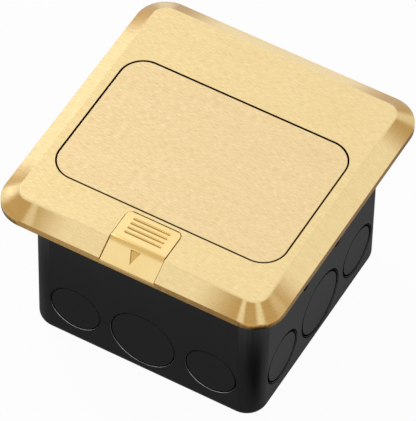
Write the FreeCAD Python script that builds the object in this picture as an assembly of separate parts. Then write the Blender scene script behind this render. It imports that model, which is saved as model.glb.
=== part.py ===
import FreeCAD, Part
import math
import os

V = FreeCAD.Vector

# Pop-up floor socket box, millimetres. Origin at the centre of the box's underside, +Z up,
# the thumb slide towards -Y.

# Back box
box_w = 100.6
box_h = 73.0
box_wall = 1.6
box_corner_r = 9.0
box_bottom_r = 4.0

# Knockouts, two small and one large on each side
knockout_small_r = 11.1
knockout_large_r = 14.2
knockout_pitch = 30.0
knockout_z = 20.0
knockout_sunk = 0.25
knockout_shear_gap = 0.45
knockout_tie_w = 3.0
knockout_tie_deep = 0.9

# Fixing holes of the box
side_hole_r = 2.2
side_hole_y = 12.5
side_hole_z = 44.5
floor_hole_r = 2.5
floor_hole_pitch = 64.0
earth_screw_x = 20.0
earth_screw_y = -38.0

# Cover, whose flange hides the edge of the recess that the box stands in
flange_side = 10.3
flange_end = 12.3
cover_corner_r = 13.0
cover_edge_h = 3.0
cover_bevel_h = 5.0
cover_bevel_run = 7.5
shoulder_h = 0.45
shoulder_run = 0.35
cover_land_w = 5.6
gasket_t = 1.0
gasket_inset = 0.8
gasket_box_gap = 0.3

# Lid
lid_w = 98.4
lid_d = 65.7
lid_t = 2.0
lid_corner_r = 10.0
lid_rear_y = 27.4
lid_gap = 0.5
lid_edge_chamfer = 0.4

# Ledge under the lid and its seal
seal_t = 0.6
seal_w = 2.0
seal_clear = 0.3
ledge_t = 1.8
side_ledge_w = 10.4
front_ledge_w = 3.5
ledge_behind = 5.0
lip_draft = 0.9

# Hinge
hinge_setback = 10.5
hinge_drop = 4.6
pin_r = 1.25
pin_run_fit = 0.07
pin_press_fit = 0.02
pin_in_x = 24.0
pin_end = 1.3
clip_r = 2.1
clip_t = 0.6
clip_mouth = 1.6
swing_clear = 0.35
open_deg = 55.0
knuckle_half = 3.4
knuckle_drop = 3.2
knuckle_t = 3.0

# Carriage
carriage_w = 77.0
cheek_t = 3.0
deck_t = 2.4
sweep_gap = 1.0
face_top_deg = 6.0
face_end_deg = 55.5
bar_w = 4.4
bar_t = 2.5
header_t = 4.8
deck_rear_in = 2.9
lobe_r = 13.0
lobe_deg = (114.0, 163.0)
lip_deg = 57.0
lip_end_deg = 60.0
lip_h = 3.0
lip_w = 8.5
pad_t = 1.4
face_plate_t = 2.0

# Bosses under the lid that the carriage is screwed to
lid_boss_r = 3.2
lid_boss_front_x = 26.0
lid_boss_front_y = -24.0
lid_boss_rear_x = 20.0
lid_boss_rear_y = 8.0
lid_screw_skin = 0.9

# Cover screws and the lugs they go into
post_r = 4.0
post_in = 6.1
post_behind_front = 9.3
post_pitch = 30.0
lug_drop = 3.0
lug_t = 2.5
lug_leg_h = 16.0
lug_w = 9.0
cover_screw_r = 1.95
cover_screw_head_r = 3.8
cover_screw_len = 18.0
screw_clear = 0.2

# Latch
slide_w = 23.2
slide_corner_r = 2.4
slide_lid_web = 1.7
slide_pad_setback = 0.7
slide_t = 2.0
slide_apron_t = 0.9
slide_proud = 0.3
slide_cove_drop = 0.9
slide_sunk = 0.5
slide_clear = 0.35
latch_travel = 4.0
stem_w = 7.0
stem_d = 4.0
stem_setback = 3.0
groove_count = 4
groove_margin = 2.9
groove_pitch = 2.3
groove_r = 0.6
groove_half = 7.9
arrow_half = 2.1
arrow_setback = 0.6
arrow_len = 4.6
arrow_depth = 0.45
bolt_t = 2.0
bolt_w = 22.0
bolt_run_fit = 0.3
bolt_pad_overlap = 1.8
nose_w = 16.0
nose_clear = 0.55
latch_spring_r = 1.15
latch_spring_x = 7.5
latch_spring_wire = 0.45
keeper_t = 1.4
keeper_w = 37.0
keeper_screw_x = 15.0
keeper_screw_setback = 3.5
keeper_boss_r = 3.0
catch_w = 18.0
catch_t = 1.2

# Damper and its toothed quadrant
gear_module = 1.0
quadrant_teeth = 32
pinion_teeth = 10
gear_t = 2.4
pinion_deg = 112.0
gear_backlash = 0.12
pressure_deg = 20.0
hub_r = 4.0
shaft_r = 1.5
quadrant_screw_at = 9.5
quadrant_screw_deg = (118.0, 158.0)
damper_r = 10.0
damper_drum_r = 5.0
damper_t = 3.4
damper_ear_t = 1.5
damper_ear_r = 2.4
damper_screw_r = 1.0
damper_screw_pitch = 14.4

# Hinge chassis
arm_gap = 0.6
arm_t = 3.0
beam_back = 18.1
beam_d = 6.5
beam_t = 5.0
chassis_screw_in_x = 15.0
chassis_screw_out_x = 38.0
spring_bar_back = 14.6
spring_bar_drop = 27.3
spring_bar_w = 3.5
spring_x0 = 28.0
spring_x1 = 34.0
spring_r = 2.1
spring_wire = 0.8

# Receptacle
outlet_x = 19.0
receptacle_w = 66.8
receptacle_h = 33.4
window_clear = 0.3
face_proud = 0.3
strap_t = 1.0
strap_inset = 1.2
strap_ear_w = 28.0
body_depth = 16.5
body_inset_x = 2.4
body_inset_y = 3.7
blade_pitch = 12.7
blade_shift = 4.5
slot_len = 8.2
slot_w = 2.0
ground_offset = 11.9
ground_r = 2.6
sleeve_r = 3.1
channel_w = 3.8
contact_w = 3.0
contact_t = 0.7
contact_recess = 2.0
contact_h = 9.5
terminal_x = 12.0
terminal_r = 1.5
terminal_drop = 8.0
ground_terminal_y = 7.0

# Small screws
m3_r = 1.45
m3_head_r = 2.7
m3_head_h = 1.9
plate_screw_r = 1.2
plate_screw_head_r = 2.0
plate_screw_x = 30.0
strap_screw_x = 10.0

# Places that follow from the sizes
box_half = box_w / 2
box_in = box_half - box_wall
cover_w = box_w + 2 * flange_side
cover_d = box_w + 2 * flange_end
cover_z = box_h + gasket_t
lug_top_z = box_h - lug_drop
edge_z = cover_z + cover_edge_h
top_z = edge_z + cover_bevel_h
lid_z = top_z - lid_t
lid_front_y = lid_rear_y - lid_d
ledge_z = lid_z - seal_clear - seal_t
ceiling_z = ledge_z - ledge_t
recess_x = lid_w / 2 + lid_gap
recess_front_y = lid_front_y - lid_gap
recess_rear_y = lid_rear_y + lid_gap
recess_corner_r = lid_corner_r + lid_gap
hinge_y = lid_rear_y - hinge_setback
hinge_z = top_z - hinge_drop
opening_front_y = recess_front_y + front_ledge_w
carriage_r = hinge_y - opening_front_y - sweep_gap
step_y = -cover_d / 2 + cover_bevel_run
slide_rear_y = recess_front_y - slide_lid_web
slide_pad_y = step_y + slide_pad_setback
stem_y = slide_rear_y - stem_setback
groove_y = slide_rear_y - groove_margin
arrow_y = step_y - arrow_setback
post_x = recess_x - post_in
post_front_y = lid_front_y + post_behind_front
post_rear_y = post_front_y + post_pitch
cheek_x = carriage_w / 2
arm_x = cheek_x + gear_t + arm_gap
pin_out_x = arm_x + arm_t + clip_t + pin_end
beam_y0 = hinge_y + beam_back
beam_y1 = beam_y0 + beam_d
spring_bar_y = hinge_y + spring_bar_back
spring_bar_z = ceiling_z - spring_bar_drop
body_w = receptacle_w - 2 * body_inset_x
body_h = receptacle_h - 2 * body_inset_y
flap_r = math.hypot(hinge_setback, hinge_drop) + swing_clear
pitch_r = gear_module * quadrant_teeth / 2
pinion_r = gear_module * pinion_teeth / 2
gear_centres = pitch_r + pinion_r


# Shape helpers

def block(x0, x1, y0, y1, z0, z1):
    return Part.makeBox(x1 - x0, y1 - y0, z1 - z0, V(x0, y0, z0))


def rod(radius, start, end):
    run = end.sub(start)
    return Part.makeCylinder(radius, run.Length, start, run)


def rod_x(radius, x0, x1, y, z):
    return rod(radius, V(x0, y, z), V(x1, y, z))


def rod_y(radius, y0, y1, x, z):
    return rod(radius, V(x, y0, z), V(x, y1, z))


def rod_z(radius, z0, z1, x, y):
    return rod(radius, V(x, y, z0), V(x, y, z1))


def outline(points, place):
    """Closed wire through (a, b, corner radius) points, put in space by place(a, b)."""
    spans = []
    for i, (a, b, radius) in enumerate(points):
        corner = place(a, b)
        before = place(*points[i - 1][:2]).sub(corner).normalize()
        after = place(*points[(i + 1) % len(points)][:2]).sub(corner).normalize()
        if radius == 0:
            spans.append((corner, None, corner))
            continue
        half = before.getAngle(after) / 2
        middle = before.add(after).normalize()
        middle = corner.add(middle.multiply(radius / math.sin(half) - radius))
        reach = radius / math.tan(half)
        start = corner.add(before.multiply(reach))
        end = corner.add(after.multiply(reach))
        spans.append((start, middle, end))
    edges = []
    for i, (start, middle, end) in enumerate(spans):
        if middle is not None:
            edges.append(Part.Arc(start, middle, end).toShape())
        following = spans[(i + 1) % len(spans)][0]
        if end.distanceToPoint(following) > 1e-6:
            edges.append(Part.makeLine(end, following))
    return Part.Wire(edges)


def rectangle(x0, x1, y0, y1, radius, z):
    points = [(x0, y0, radius), (x1, y0, radius), (x1, y1, radius), (x0, y1, radius)]
    return outline(points, lambda a, b: V(a, b, z))


def slab(x0, x1, y0, y1, radius, z0, z1):
    return Part.Face(rectangle(x0, x1, y0, y1, radius, z0)).extrude(V(0, 0, z1 - z0))


def side_plate(points, x0, x1):
    """Plate across X from an outline of (y, z, corner radius) points."""
    wire = outline(points, lambda a, b: V(x0, a, b))
    return Part.Face(wire).extrude(V(x1 - x0, 0, 0))


def mirrored(shape):
    return shape.mirror(V(0, 0, 0), V(1, 0, 0))


def both_sides(shape):
    return [shape, mirrored(shape)]


def turned(shape, degrees):
    """Copy turned about the vertical axis through the origin."""
    copy = shape.copy()
    copy.rotate(V(0, 0, 0), V(0, 0, 1), degrees)
    return copy


def save(name, shapes):
    solids = []
    for shape in shapes:
        solids.extend(shape.Solids)
    for solid in solids:
        if not solid.isValid():
            print("not valid:", name)
    whole = solids[0] if len(solids) == 1 else Part.makeCompound(solids)
    whole.exportStep("parts/" + name + ".step")
    print(name, len(solids), round(sum(solid.Volume for solid in solids), 1))


def pan_screw(radius, head_r, head_h, length):
    """Screw along -Z with the underside of its head at the origin."""
    head = Part.makeCylinder(head_r, head_h)
    head = head.makeFillet(head_h * 0.45, [head.Edges[0]])
    shank = Part.makeCylinder(radius, length, V(0, 0, -length))
    return head.fuse(shank).removeSplitter()


def placed(shape, point, direction):
    """Copy whose +Z axis points along direction, with its origin at point."""
    copy = shape.copy()
    copy.Placement = FreeCAD.Placement(point, FreeCAD.Rotation(V(0, 0, 1), direction))
    return copy


# Back box: deep-drawn steel, open at the top

def knockout_places():
    """(radius, offset along the wall) of the three knockouts of one wall."""
    return [
        (knockout_small_r, -knockout_pitch),
        (knockout_large_r, 0.0),
        (knockout_small_r, knockout_pitch),
    ]


def build_back_box():
    shell = slab(-box_half, box_half, -box_half, box_half, box_corner_r, 0, box_h)
    low = [edge for edge in shell.Edges if edge.BoundBox.ZMax < 0.001]
    shell = shell.makeFillet(box_bottom_r, low)
    hollow = slab(-box_in, box_in, -box_in, box_in, box_corner_r - box_wall, box_wall, box_h + 1)
    low = [edge for edge in hollow.Edges if edge.BoundBox.ZMax < box_wall + 0.001]
    hollow = hollow.makeFillet(box_bottom_r - box_wall, low)
    cuts = [hollow]
    for quarter in range(4):
        for radius, offset in knockout_places():
            hole = rod_y(radius, -box_half - 1, -box_in + 1, offset, knockout_z)
            cuts.append(turned(hole, 90 * quarter))
    for y in (-side_hole_y, side_hole_y):
        cuts.append(rod_x(side_hole_r, -box_half - 1, box_half + 1, y, side_hole_z))
    for x in (-floor_hole_pitch / 2, floor_hole_pitch / 2):
        for y in (-floor_hole_pitch / 2, floor_hole_pitch / 2):
            cuts.append(rod_z(floor_hole_r, -1, box_wall + 1, x, y))
    cuts.append(rod_z(cover_screw_r, -1, box_wall + 1, earth_screw_x, earth_screw_y))
    return shell.cut(cuts)


def build_knockouts(wanted_r):
    """Discs in a sheared ring groove, each still held by two ties at the back of the groove."""
    outer_y = -box_half + knockout_sunk
    slugs = []
    for quarter in range(4):
        for radius, offset in knockout_places():
            if radius != wanted_r:
                continue
            inner_y = outer_y + box_wall
            disc = rod_y(radius - knockout_shear_gap, outer_y, inner_y, offset, knockout_z)
            full = rod_y(radius, outer_y, inner_y, offset, knockout_z)
            half = knockout_tie_w / 2
            tie = block(offset - half, offset + half, outer_y + knockout_tie_deep, inner_y,
                        knockout_z - radius - 1, knockout_z + radius + 1)
            slug = disc.fuse(full.common(tie)).removeSplitter()
            slugs.append(turned(slug, 90 * quarter))
    return slugs


def build_cover_lugs():
    """Angle brackets welded inside the left and right walls, tapped for the cover screws."""
    lugs = []
    inner_x = post_x - post_r - 0.4
    for y in (post_front_y, post_rear_y):
        points = [
            (inner_x, lug_top_z - lug_t, 0),
            (box_in - lug_t, lug_top_z - lug_t, 1.2),
            (box_in - lug_t, lug_top_z - lug_leg_h, 0),
            (box_in, lug_top_z - lug_leg_h, 0),
            (box_in, lug_top_z, 3.0),
            (inner_x, lug_top_z, 0),
        ]
        y0 = y - lug_w / 2
        wire = outline(points, lambda a, b: V(a, y0, b))
        lug = Part.Face(wire).extrude(V(0, lug_w, 0))
        bore = rod_z(cover_screw_r + 0.05, lug_top_z - lug_t - 1, lug_top_z + 1, post_x, y)
        lugs.extend(both_sides(lug.cut(bore)))
    return lugs


def build_earth_screw():
    screw = pan_screw(cover_screw_r - 0.05, 4.0, 2.6, box_wall - 0.2)
    return placed(screw, V(earth_screw_x, earth_screw_y, box_wall), V(0, 0, 1))


# Cover gasket and cover frame

def build_gasket():
    x = cover_w / 2 - gasket_inset
    y = cover_d / 2 - gasket_inset
    ring = slab(-x, x, -y, y, cover_corner_r - gasket_inset, box_h, cover_z)
    side = box_half + gasket_box_gap
    hole = slab(-side, side, -side, side, box_corner_r + gasket_box_gap, box_h - 1, cover_z + 1)
    return ring.cut(hole)


def cover_outline(inset, z):
    x = cover_w / 2 - inset
    y = cover_d / 2 - inset
    return rectangle(-x, x, -y, y, cover_corner_r - inset, z)


def cover_blank():
    """Flat top with a low steep shoulder around it, a sloped border and an upright edge."""
    rim = Part.Face(cover_outline(0, cover_z)).extrude(V(0, 0, cover_edge_h))
    low = cover_outline(0, edge_z)
    foot = cover_outline(cover_bevel_run - shoulder_run, top_z - shoulder_h)
    high = cover_outline(cover_bevel_run, top_z)
    slope = Part.makeLoft([low, foot], True, True)
    shoulder = Part.makeLoft([foot, high], True, True)
    return rim.fuse([slope, shoulder]).removeSplitter()


def lid_recess():
    """Pocket for the lid, undercut behind so that the lid's rear edge can swing down."""
    high = rectangle(-recess_x, recess_x, recess_front_y, recess_rear_y, recess_corner_r, top_z)
    low = rectangle(-recess_x, recess_x, recess_front_y, recess_rear_y + lip_draft,
                    recess_corner_r, ledge_z)
    above = slab(-recess_x, recess_x, recess_front_y, recess_rear_y, recess_corner_r,
                 top_z, top_z + 1)
    return Part.makeLoft([low, high], True, True).fuse(above)


def lid_opening():
    """Way through the cover: between the ledges in front, full width behind."""
    ledge_in = recess_x - side_ledge_w
    front = slab(-ledge_in, ledge_in, opening_front_y, recess_rear_y, 2.0,
                 ceiling_z - 1, ledge_z + 0.1)
    rear = block(-recess_x, recess_x, hinge_y - ledge_behind, recess_rear_y,
                 ceiling_z - 1, ledge_z + 0.1)
    swing = rod_x(flap_r, -recess_x, recess_x, hinge_y, hinge_z)
    below = block(-recess_x, recess_x, hinge_y, hinge_y + flap_r + 1,
                  ceiling_z - 1, ledge_z + 0.1)
    return front.fuse([rear, swing.common(below)])


def apron_drop(clear):
    """Outline (y, z) of the thumb slide's underside, lowered by clear."""
    outer_y = -cover_d / 2
    pad_z = top_z + slide_proud - slide_t
    return [
        (slide_rear_y, pad_z - clear, 0),
        (step_y + 1.5, pad_z - clear, 0),
        (outer_y, edge_z - slide_sunk - slide_apron_t - clear, 0),
    ]


def apron_z(y):
    """Height of the thumb slide's sloping apron."""
    high = top_z - slide_cove_drop
    low = edge_z - slide_sunk
    return high + (low - high) * (step_y - y) / cover_bevel_run


def slide_notch():
    outer_y = -cover_d / 2
    floor = apron_drop(slide_clear)
    points = [
        (slide_rear_y + slide_clear, top_z + 2, 0),
        (slide_rear_y + slide_clear, floor[0][1], 0.6),
        floor[1],
        floor[2],
        (outer_y - 2, floor[2][1] - 0.5, 0),
        (outer_y - 2, top_z + 2, 0),
    ]
    half = slide_w / 2 + slide_clear
    plan = slab(-half, half, outer_y - 10, slide_rear_y + slide_clear,
                slide_corner_r + slide_clear, box_h, top_z + 5)
    return side_plate(points, -half, half).common(plan)


def stem_slot():
    half = stem_w / 2 + slide_clear
    return slab(-half, half, stem_y - stem_d - latch_travel - slide_clear, stem_y + slide_clear,
                1.5, ceiling_z - 1, top_z)


def build_cover_frame():
    x = cover_w / 2 - cover_land_w
    y = cover_d / 2 - cover_land_w
    underside = slab(-x, x, -y, y, cover_corner_r - cover_land_w, cover_z - 1, ceiling_z)
    frame = cover_blank().cut([underside, lid_recess(), lid_opening(), slide_notch(), stem_slot()])
    posts = []
    for px in (-post_x, post_x):
        for py in (post_front_y, post_rear_y):
            posts.append(rod_z(post_r, lug_top_z, ceiling_z + 0.5, px, py))
    for px, py in keeper_screw_places():
        posts.append(rod_z(keeper_boss_r, keeper_z + keeper_t, ceiling_z + 0.5, px, py))
    frame = frame.fuse(posts)
    holes = []
    for px in (-post_x, post_x):
        for py in (post_front_y, post_rear_y):
            holes.append(rod_z(cover_screw_r + screw_clear, lug_top_z - 1, ledge_z + 1, px, py))
            holes.append(countersink(px, py))
    for px, py in chassis_screw_places():
        holes.append(rod_z(m3_r, ceiling_z - 1, ceiling_z + 3.4, px, py))
    for px, py in keeper_screw_places():
        holes.append(rod_z(m3_r, keeper_z, ceiling_z + 2.6, px, py))
    return frame.cut(holes).removeSplitter()


def countersink(x, y):
    depth = cover_screw_head_r - cover_screw_r - screw_clear
    low_z = ledge_z - depth
    cone = Part.makeCone(cover_screw_r + screw_clear, cover_screw_head_r, depth, V(x, y, low_z))
    return cone.fuse(rod_z(cover_screw_head_r, ledge_z, ledge_z + 1, x, y))


def build_cover_screws():
    screws = []
    depth = cover_screw_head_r - cover_screw_r - screw_clear
    for x in (-post_x, post_x):
        for y in (post_front_y, post_rear_y):
            head = Part.makeCone(cover_screw_r + screw_clear, cover_screw_head_r, depth,
                                 V(x, y, ledge_z - depth))
            shank = rod_z(cover_screw_r, ledge_z - cover_screw_len, ledge_z - depth, x, y)
            socket = rod_z(1.2, ledge_z - 1.1, ledge_z + 1, x, y)
            screws.append(head.fuse(shank).cut(socket))
    return screws


def build_lid_seal():
    """Strip on the outer edge of the ledge, along the front and both sides."""
    x = recess_x - 0.15
    y = recess_front_y + 0.15
    outer = slab(-x, x, y, recess_rear_y, recess_corner_r - 0.15, ledge_z, ledge_z + seal_t)
    inner = slab(-x + seal_w, x - seal_w, y + seal_w, recess_rear_y,
                 recess_corner_r - 0.15 - seal_w, ledge_z - 1, ledge_z + seal_t + 1)
    behind = block(-x - 1, x + 1, hinge_y - ledge_behind - 0.3, recess_rear_y + 1,
                   ledge_z - 1, ledge_z + seal_t + 1)
    return outer.cut([inner, behind])


# Latch: the thumb slide above the cover, its bolt, guide and springs below

bolt_top_z = ceiling_z - 0.4
bolt_z = bolt_top_z - bolt_t
keeper_z = bolt_z - bolt_run_fit - keeper_t
nose_y = hinge_y - carriage_r - nose_clear
bolt_y = slide_pad_y + bolt_pad_overlap
window_y0 = stem_y - stem_d - latch_travel
window_y1 = nose_y - 4.8
tab_y = window_y0 + latch_travel + 1.2


def keeper_screw_places():
    y = slide_rear_y - keeper_screw_setback
    return [(-keeper_screw_x, y), (keeper_screw_x, y)]


def thumb_slide_outline():
    outer_y = -cover_d / 2
    under = apron_drop(0)
    pad_z = top_z + slide_proud
    return [
        under[0],
        (slide_rear_y, pad_z, 0.5),
        (slide_pad_y, pad_z, 0.9),
        (step_y, apron_z(step_y), 0.4),
        (outer_y, apron_z(outer_y), 0.2),
        under[2],
        under[1],
    ]


def build_thumb_slide():
    half = slide_w / 2
    slide = side_plate(thumb_slide_outline(), -half, half)
    plan = slab(-half, half, -cover_d / 2 - 10, slide_rear_y, slide_corner_r, box_h, top_z + 5)
    slide = slide.common(plan)
    stem = slab(-stem_w / 2, stem_w / 2, stem_y - stem_d, stem_y, 1.2,
                bolt_top_z, top_z + slide_proud - slide_t + 0.2)
    cuts = []
    for i in range(groove_count):
        y = groove_y - i * groove_pitch
        cuts.append(rod_x(groove_r, -groove_half, groove_half, y, top_z + slide_proud + 0.1))
    cuts.append(arrow_recess())
    cuts.append(rod_z(m3_r - 0.25, bolt_top_z - 1, top_z - 1.2, 0, stem_y - stem_d / 2))
    return slide.fuse(stem).cut(cuts).removeSplitter()


def arrow_recess():
    """Sunk triangle on the sloping apron, pointing outwards."""
    points = []
    for x, y in ((-arrow_half, arrow_y), (0, arrow_y - arrow_len), (arrow_half, arrow_y)):
        z = apron_z(y) - arrow_depth
        points.append(V(x, y, z))
    points.append(points[0])
    return Part.Face(Part.makePolygon(points)).extrude(V(0, 0, 3))


def build_latch_bolt():
    half = bolt_w / 2
    plate = slab(-half, half, bolt_y, nose_y - 3.5, 1.5, bolt_z, bolt_top_z)
    nose = slab(-nose_w / 2, nose_w / 2, bolt_y + 3, nose_y, 1.0, bolt_z, bolt_top_z)
    bolt = plate.fuse(nose)
    cuts = []
    for side in (-1, 1):
        x = side * latch_spring_x
        reach = latch_spring_r + 0.45
        cuts.append(slab(x - reach, x + reach, window_y0, window_y1, 0.4, bolt_z - 1, bolt_top_z + 1))
    y = stem_y - stem_d / 2
    cuts.append(rod_z(m3_r - 0.2, bolt_z - 1, bolt_top_z + 1, 0, y))
    cuts.append(Part.makeCone(2.5, m3_r - 0.2, 1.2, V(0, y, bolt_z)))
    return bolt.cut(cuts).removeSplitter()


def build_latch_screw():
    y = stem_y - stem_d / 2
    head = Part.makeCone(2.5, m3_r - 0.2, 1.2, V(0, y, bolt_z))
    shank = rod_z(m3_r - 0.25, bolt_z + 1.2, top_z - 1.4, 0, y)
    return head.fuse(shank)


def build_latch_keeper():
    """Guide plate under the bolt with two tabs that the springs push against."""
    half = keeper_w / 2
    y1 = window_y1 + 0.2
    plate = slab(-half, half, -box_in + 0.3, y1, 1.5, keeper_z, keeper_z + keeper_t)
    tabs = []
    for side in (-1, 1):
        x = side * latch_spring_x
        tabs.append(block(x - 1.3, x + 1.3, tab_y - 1.2, tab_y, keeper_z, bolt_top_z))
    holes = []
    for x, y in keeper_screw_places():
        holes.append(rod_z(m3_r + 0.1, keeper_z - 1, keeper_z + keeper_t + 1, x, y))
    return plate.fuse(tabs).cut(holes).removeSplitter()


def build_keeper_screws():
    screw = pan_screw(m3_r - 0.05, m3_head_r, m3_head_h, ceiling_z + 2.2 - keeper_z)
    return [placed(screw, V(x, y, keeper_z), V(0, 0, -1)) for x, y in keeper_screw_places()]


def ribbed_sleeve(outer_r, wire_d, coils, x0, x1):
    """Close-wound coil along X: one ridge for each turn of wire."""
    inner_r = outer_r - wire_d
    pitch = (x1 - x0) / coils
    points = [V(x0, inner_r, 0), V(x0, outer_r - wire_d * 0.35, 0)]
    for i in range(coils):
        points.append(V(x0 + (i + 0.5) * pitch, outer_r, 0))
        points.append(V(x0 + (i + 1) * pitch, outer_r - wire_d * 0.35, 0))
    points.append(V(x1, inner_r, 0))
    points.append(points[0])
    return Part.Face(Part.makePolygon(points)).revolve(V(0, 0, 0), V(1, 0, 0), 360)


def build_latch_springs():
    z = (bolt_z + bolt_top_z) / 2
    coil = ribbed_sleeve(latch_spring_r, latch_spring_wire, 7, tab_y, window_y1)
    springs = []
    for side in (-1, 1):
        spring = coil.copy()
        spring.rotate(V(0, 0, 0), V(0, 0, 1), 90)
        spring.translate(V(side * latch_spring_x, 0, z))
        springs.append(spring)
    return springs


# Hinge: chassis screwed under the cover, pins, clips and torsion springs

def polar(radius, degrees):
    """(y, z) at a distance from the hinge axis and an angle below the forward horizontal."""
    angle = math.radians(degrees)
    return hinge_y - radius * math.cos(angle), hinge_z - radius * math.sin(angle)


def along_flap(out, down):
    """(y, z) beside the open lid: out across the lid, down along it, from the hinge axis."""
    angle = math.radians(open_deg)
    y = hinge_y + out * math.sin(angle) + down * math.cos(angle)
    z = hinge_z + out * math.cos(angle) - down * math.sin(angle)
    return y, z


def chassis_screw_places():
    y = (beam_y0 + beam_y1) / 2
    places = [(chassis_screw_in_x, y), (chassis_screw_out_x, y)]
    return places + [(-x, y) for x, y in places]


def arm_outline():
    """Gooseneck arm that passes below the rear of the open lid."""
    lid_under = lid_z - hinge_z
    top = lid_z - 0.4
    edge = lid_under - 0.7
    slope = math.radians(open_deg)
    top_y = hinge_y + (edge - (top - hinge_z) * math.cos(slope)) / math.sin(slope)
    neck = along_flap(edge, flap_r + 1.4)
    damper = polar(gear_centres, pinion_deg)
    rear_y = hinge_y + flap_r + 2.0
    return [
        (hinge_y - 3.5, top, 1.2),
        (top_y, top, 0.6),
        (neck[0], neck[1], 2.5),
        (rear_y, neck[1] + 2.5, 1.5),
        (rear_y, ceiling_z, 0),
        (beam_y1, ceiling_z, 0),
        (beam_y1, ceiling_z - 9, 3.0),
        (spring_bar_y + spring_bar_w, spring_bar_z, 2.0),
        (damper[0] - damper_r, spring_bar_z, 4.0),
        (hinge_y - 3.5, hinge_z - 12, 5.0),
    ]


def build_hinge_chassis():
    arm = side_plate(arm_outline(), arm_x, arm_x + arm_t)
    bore = rod_x(pin_r + pin_press_fit, arm_x - 1, arm_x + arm_t + 1, hinge_y, hinge_z)
    arm = arm.cut(bore)
    beam = block(-arm_x - 0.5, arm_x + 0.5, beam_y0, beam_y1, ceiling_z - beam_t, ceiling_z)
    bar = block(-arm_x - 0.5, arm_x + 0.5, spring_bar_y, spring_bar_y + spring_bar_w,
                spring_bar_z, spring_bar_z + spring_bar_w)
    chassis = arm.fuse([mirrored(arm), beam, bar])
    holes = []
    for x, y in chassis_screw_places():
        holes.append(rod_z(m3_r + 0.1, ceiling_z - beam_t - 1, ceiling_z + 1, x, y))
    y, z = polar(gear_centres, pinion_deg)
    holes.append(rod_x(shaft_r + pin_run_fit, -arm_x - arm_t - 1, -arm_x + 1, y, z))
    for sy, sz in damper_screw_places():
        holes.append(rod_x(damper_screw_r, -arm_x - arm_t - 1, -arm_x + 1, sy, sz))
    return chassis.cut(holes).removeSplitter()


def build_chassis_screws():
    screw = pan_screw(m3_r - 0.05, m3_head_r, m3_head_h, beam_t + 3.0)
    z = ceiling_z - beam_t
    return [placed(screw, V(x, y, z), V(0, 0, -1)) for x, y in chassis_screw_places()]


def build_hinge_pins():
    return both_sides(rod_x(pin_r, pin_in_x, pin_out_x, hinge_y, hinge_z))


def build_hinge_clips():
    x = arm_x + arm_t
    ring = rod_x(clip_r, x, x + clip_t, hinge_y, hinge_z)
    bore = rod_x(pin_r, x - 1, x + clip_t + 1, hinge_y, hinge_z)
    half = clip_mouth / 2
    mouth = block(x - 1, x + clip_t + 1, hinge_y - half, hinge_y + half,
                  hinge_z - clip_r - 1, hinge_z)
    return both_sides(ring.cut([bore, mouth]))


def build_torsion_springs():
    """Coils on the pins, one leg under the carriage deck and one down to the chassis bar."""
    coil = ribbed_sleeve(spring_r, spring_wire - 0.05, 6, spring_x0, spring_x1)
    coil.translate(V(0, hinge_y, hinge_z))
    wire = spring_wire / 2
    mean = spring_r - wire
    rest_z = spring_bar_z + 2
    reach = math.hypot(spring_bar_back, hinge_z - rest_z)
    lean = math.atan2(hinge_z - rest_z, spring_bar_back) + math.asin((mean + wire) / reach)
    start = V(spring_x1 - wire, hinge_y + mean * math.sin(lean), hinge_z + mean * math.cos(lean))
    end = start.add(V(0, math.cos(lean) * (reach - 0.6), -math.sin(lean) * (reach - 0.6)))
    rear_leg = rod(wire, start, end)
    front_leg = rod(wire, V(spring_x0 + wire, hinge_y - 0.3, hinge_z - mean),
                    V(spring_x0 + wire, hinge_y - 9, lid_z - deck_t - wire - 0.15))
    return both_sides(coil.fuse([rear_leg, front_leg]))


# Damper: toothed quadrant on the carriage, pinion and brake housing on the chassis

def damper_screw_places():
    y, z = polar(gear_centres, pinion_deg)
    half = damper_screw_pitch / 2
    return [(y - half, z), (y + half, z)]


def involute(angle):
    return math.tan(angle) - angle


def flank_half_angle(teeth, radius):
    """Half of a tooth's angle at a radius, for an involute tooth with some backlash."""
    pitch = gear_module * teeth / 2
    base = pitch * math.cos(math.radians(pressure_deg))
    half = math.pi / (2 * teeth) - gear_backlash / (2 * pitch)
    at = max(radius, base)
    return half + involute(math.radians(pressure_deg)) - involute(math.acos(base / at))


def tooth_points(teeth, centre_deg, addendum, dedendum):
    """(radius, angle) points of one tooth, from one root to the other."""
    pitch = gear_module * teeth / 2
    radii = [pitch - dedendum, pitch - 0.35 * dedendum, pitch + 0.4 * addendum, pitch + addendum]
    centre = math.radians(centre_deg)
    rising = [(r, centre - flank_half_angle(teeth, r)) for r in radii]
    falling = [(r, centre + flank_half_angle(teeth, r)) for r in reversed(radii)]
    return rising + falling


def gear_plate(points, y, z, x0, x1):
    corners = [V(x0, y + r * math.cos(a), z + r * math.sin(a)) for r, a in points]
    corners.append(corners[0])
    return Part.Face(Part.makePolygon(corners)).extrude(V(x1 - x0, 0, 0))


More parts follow.
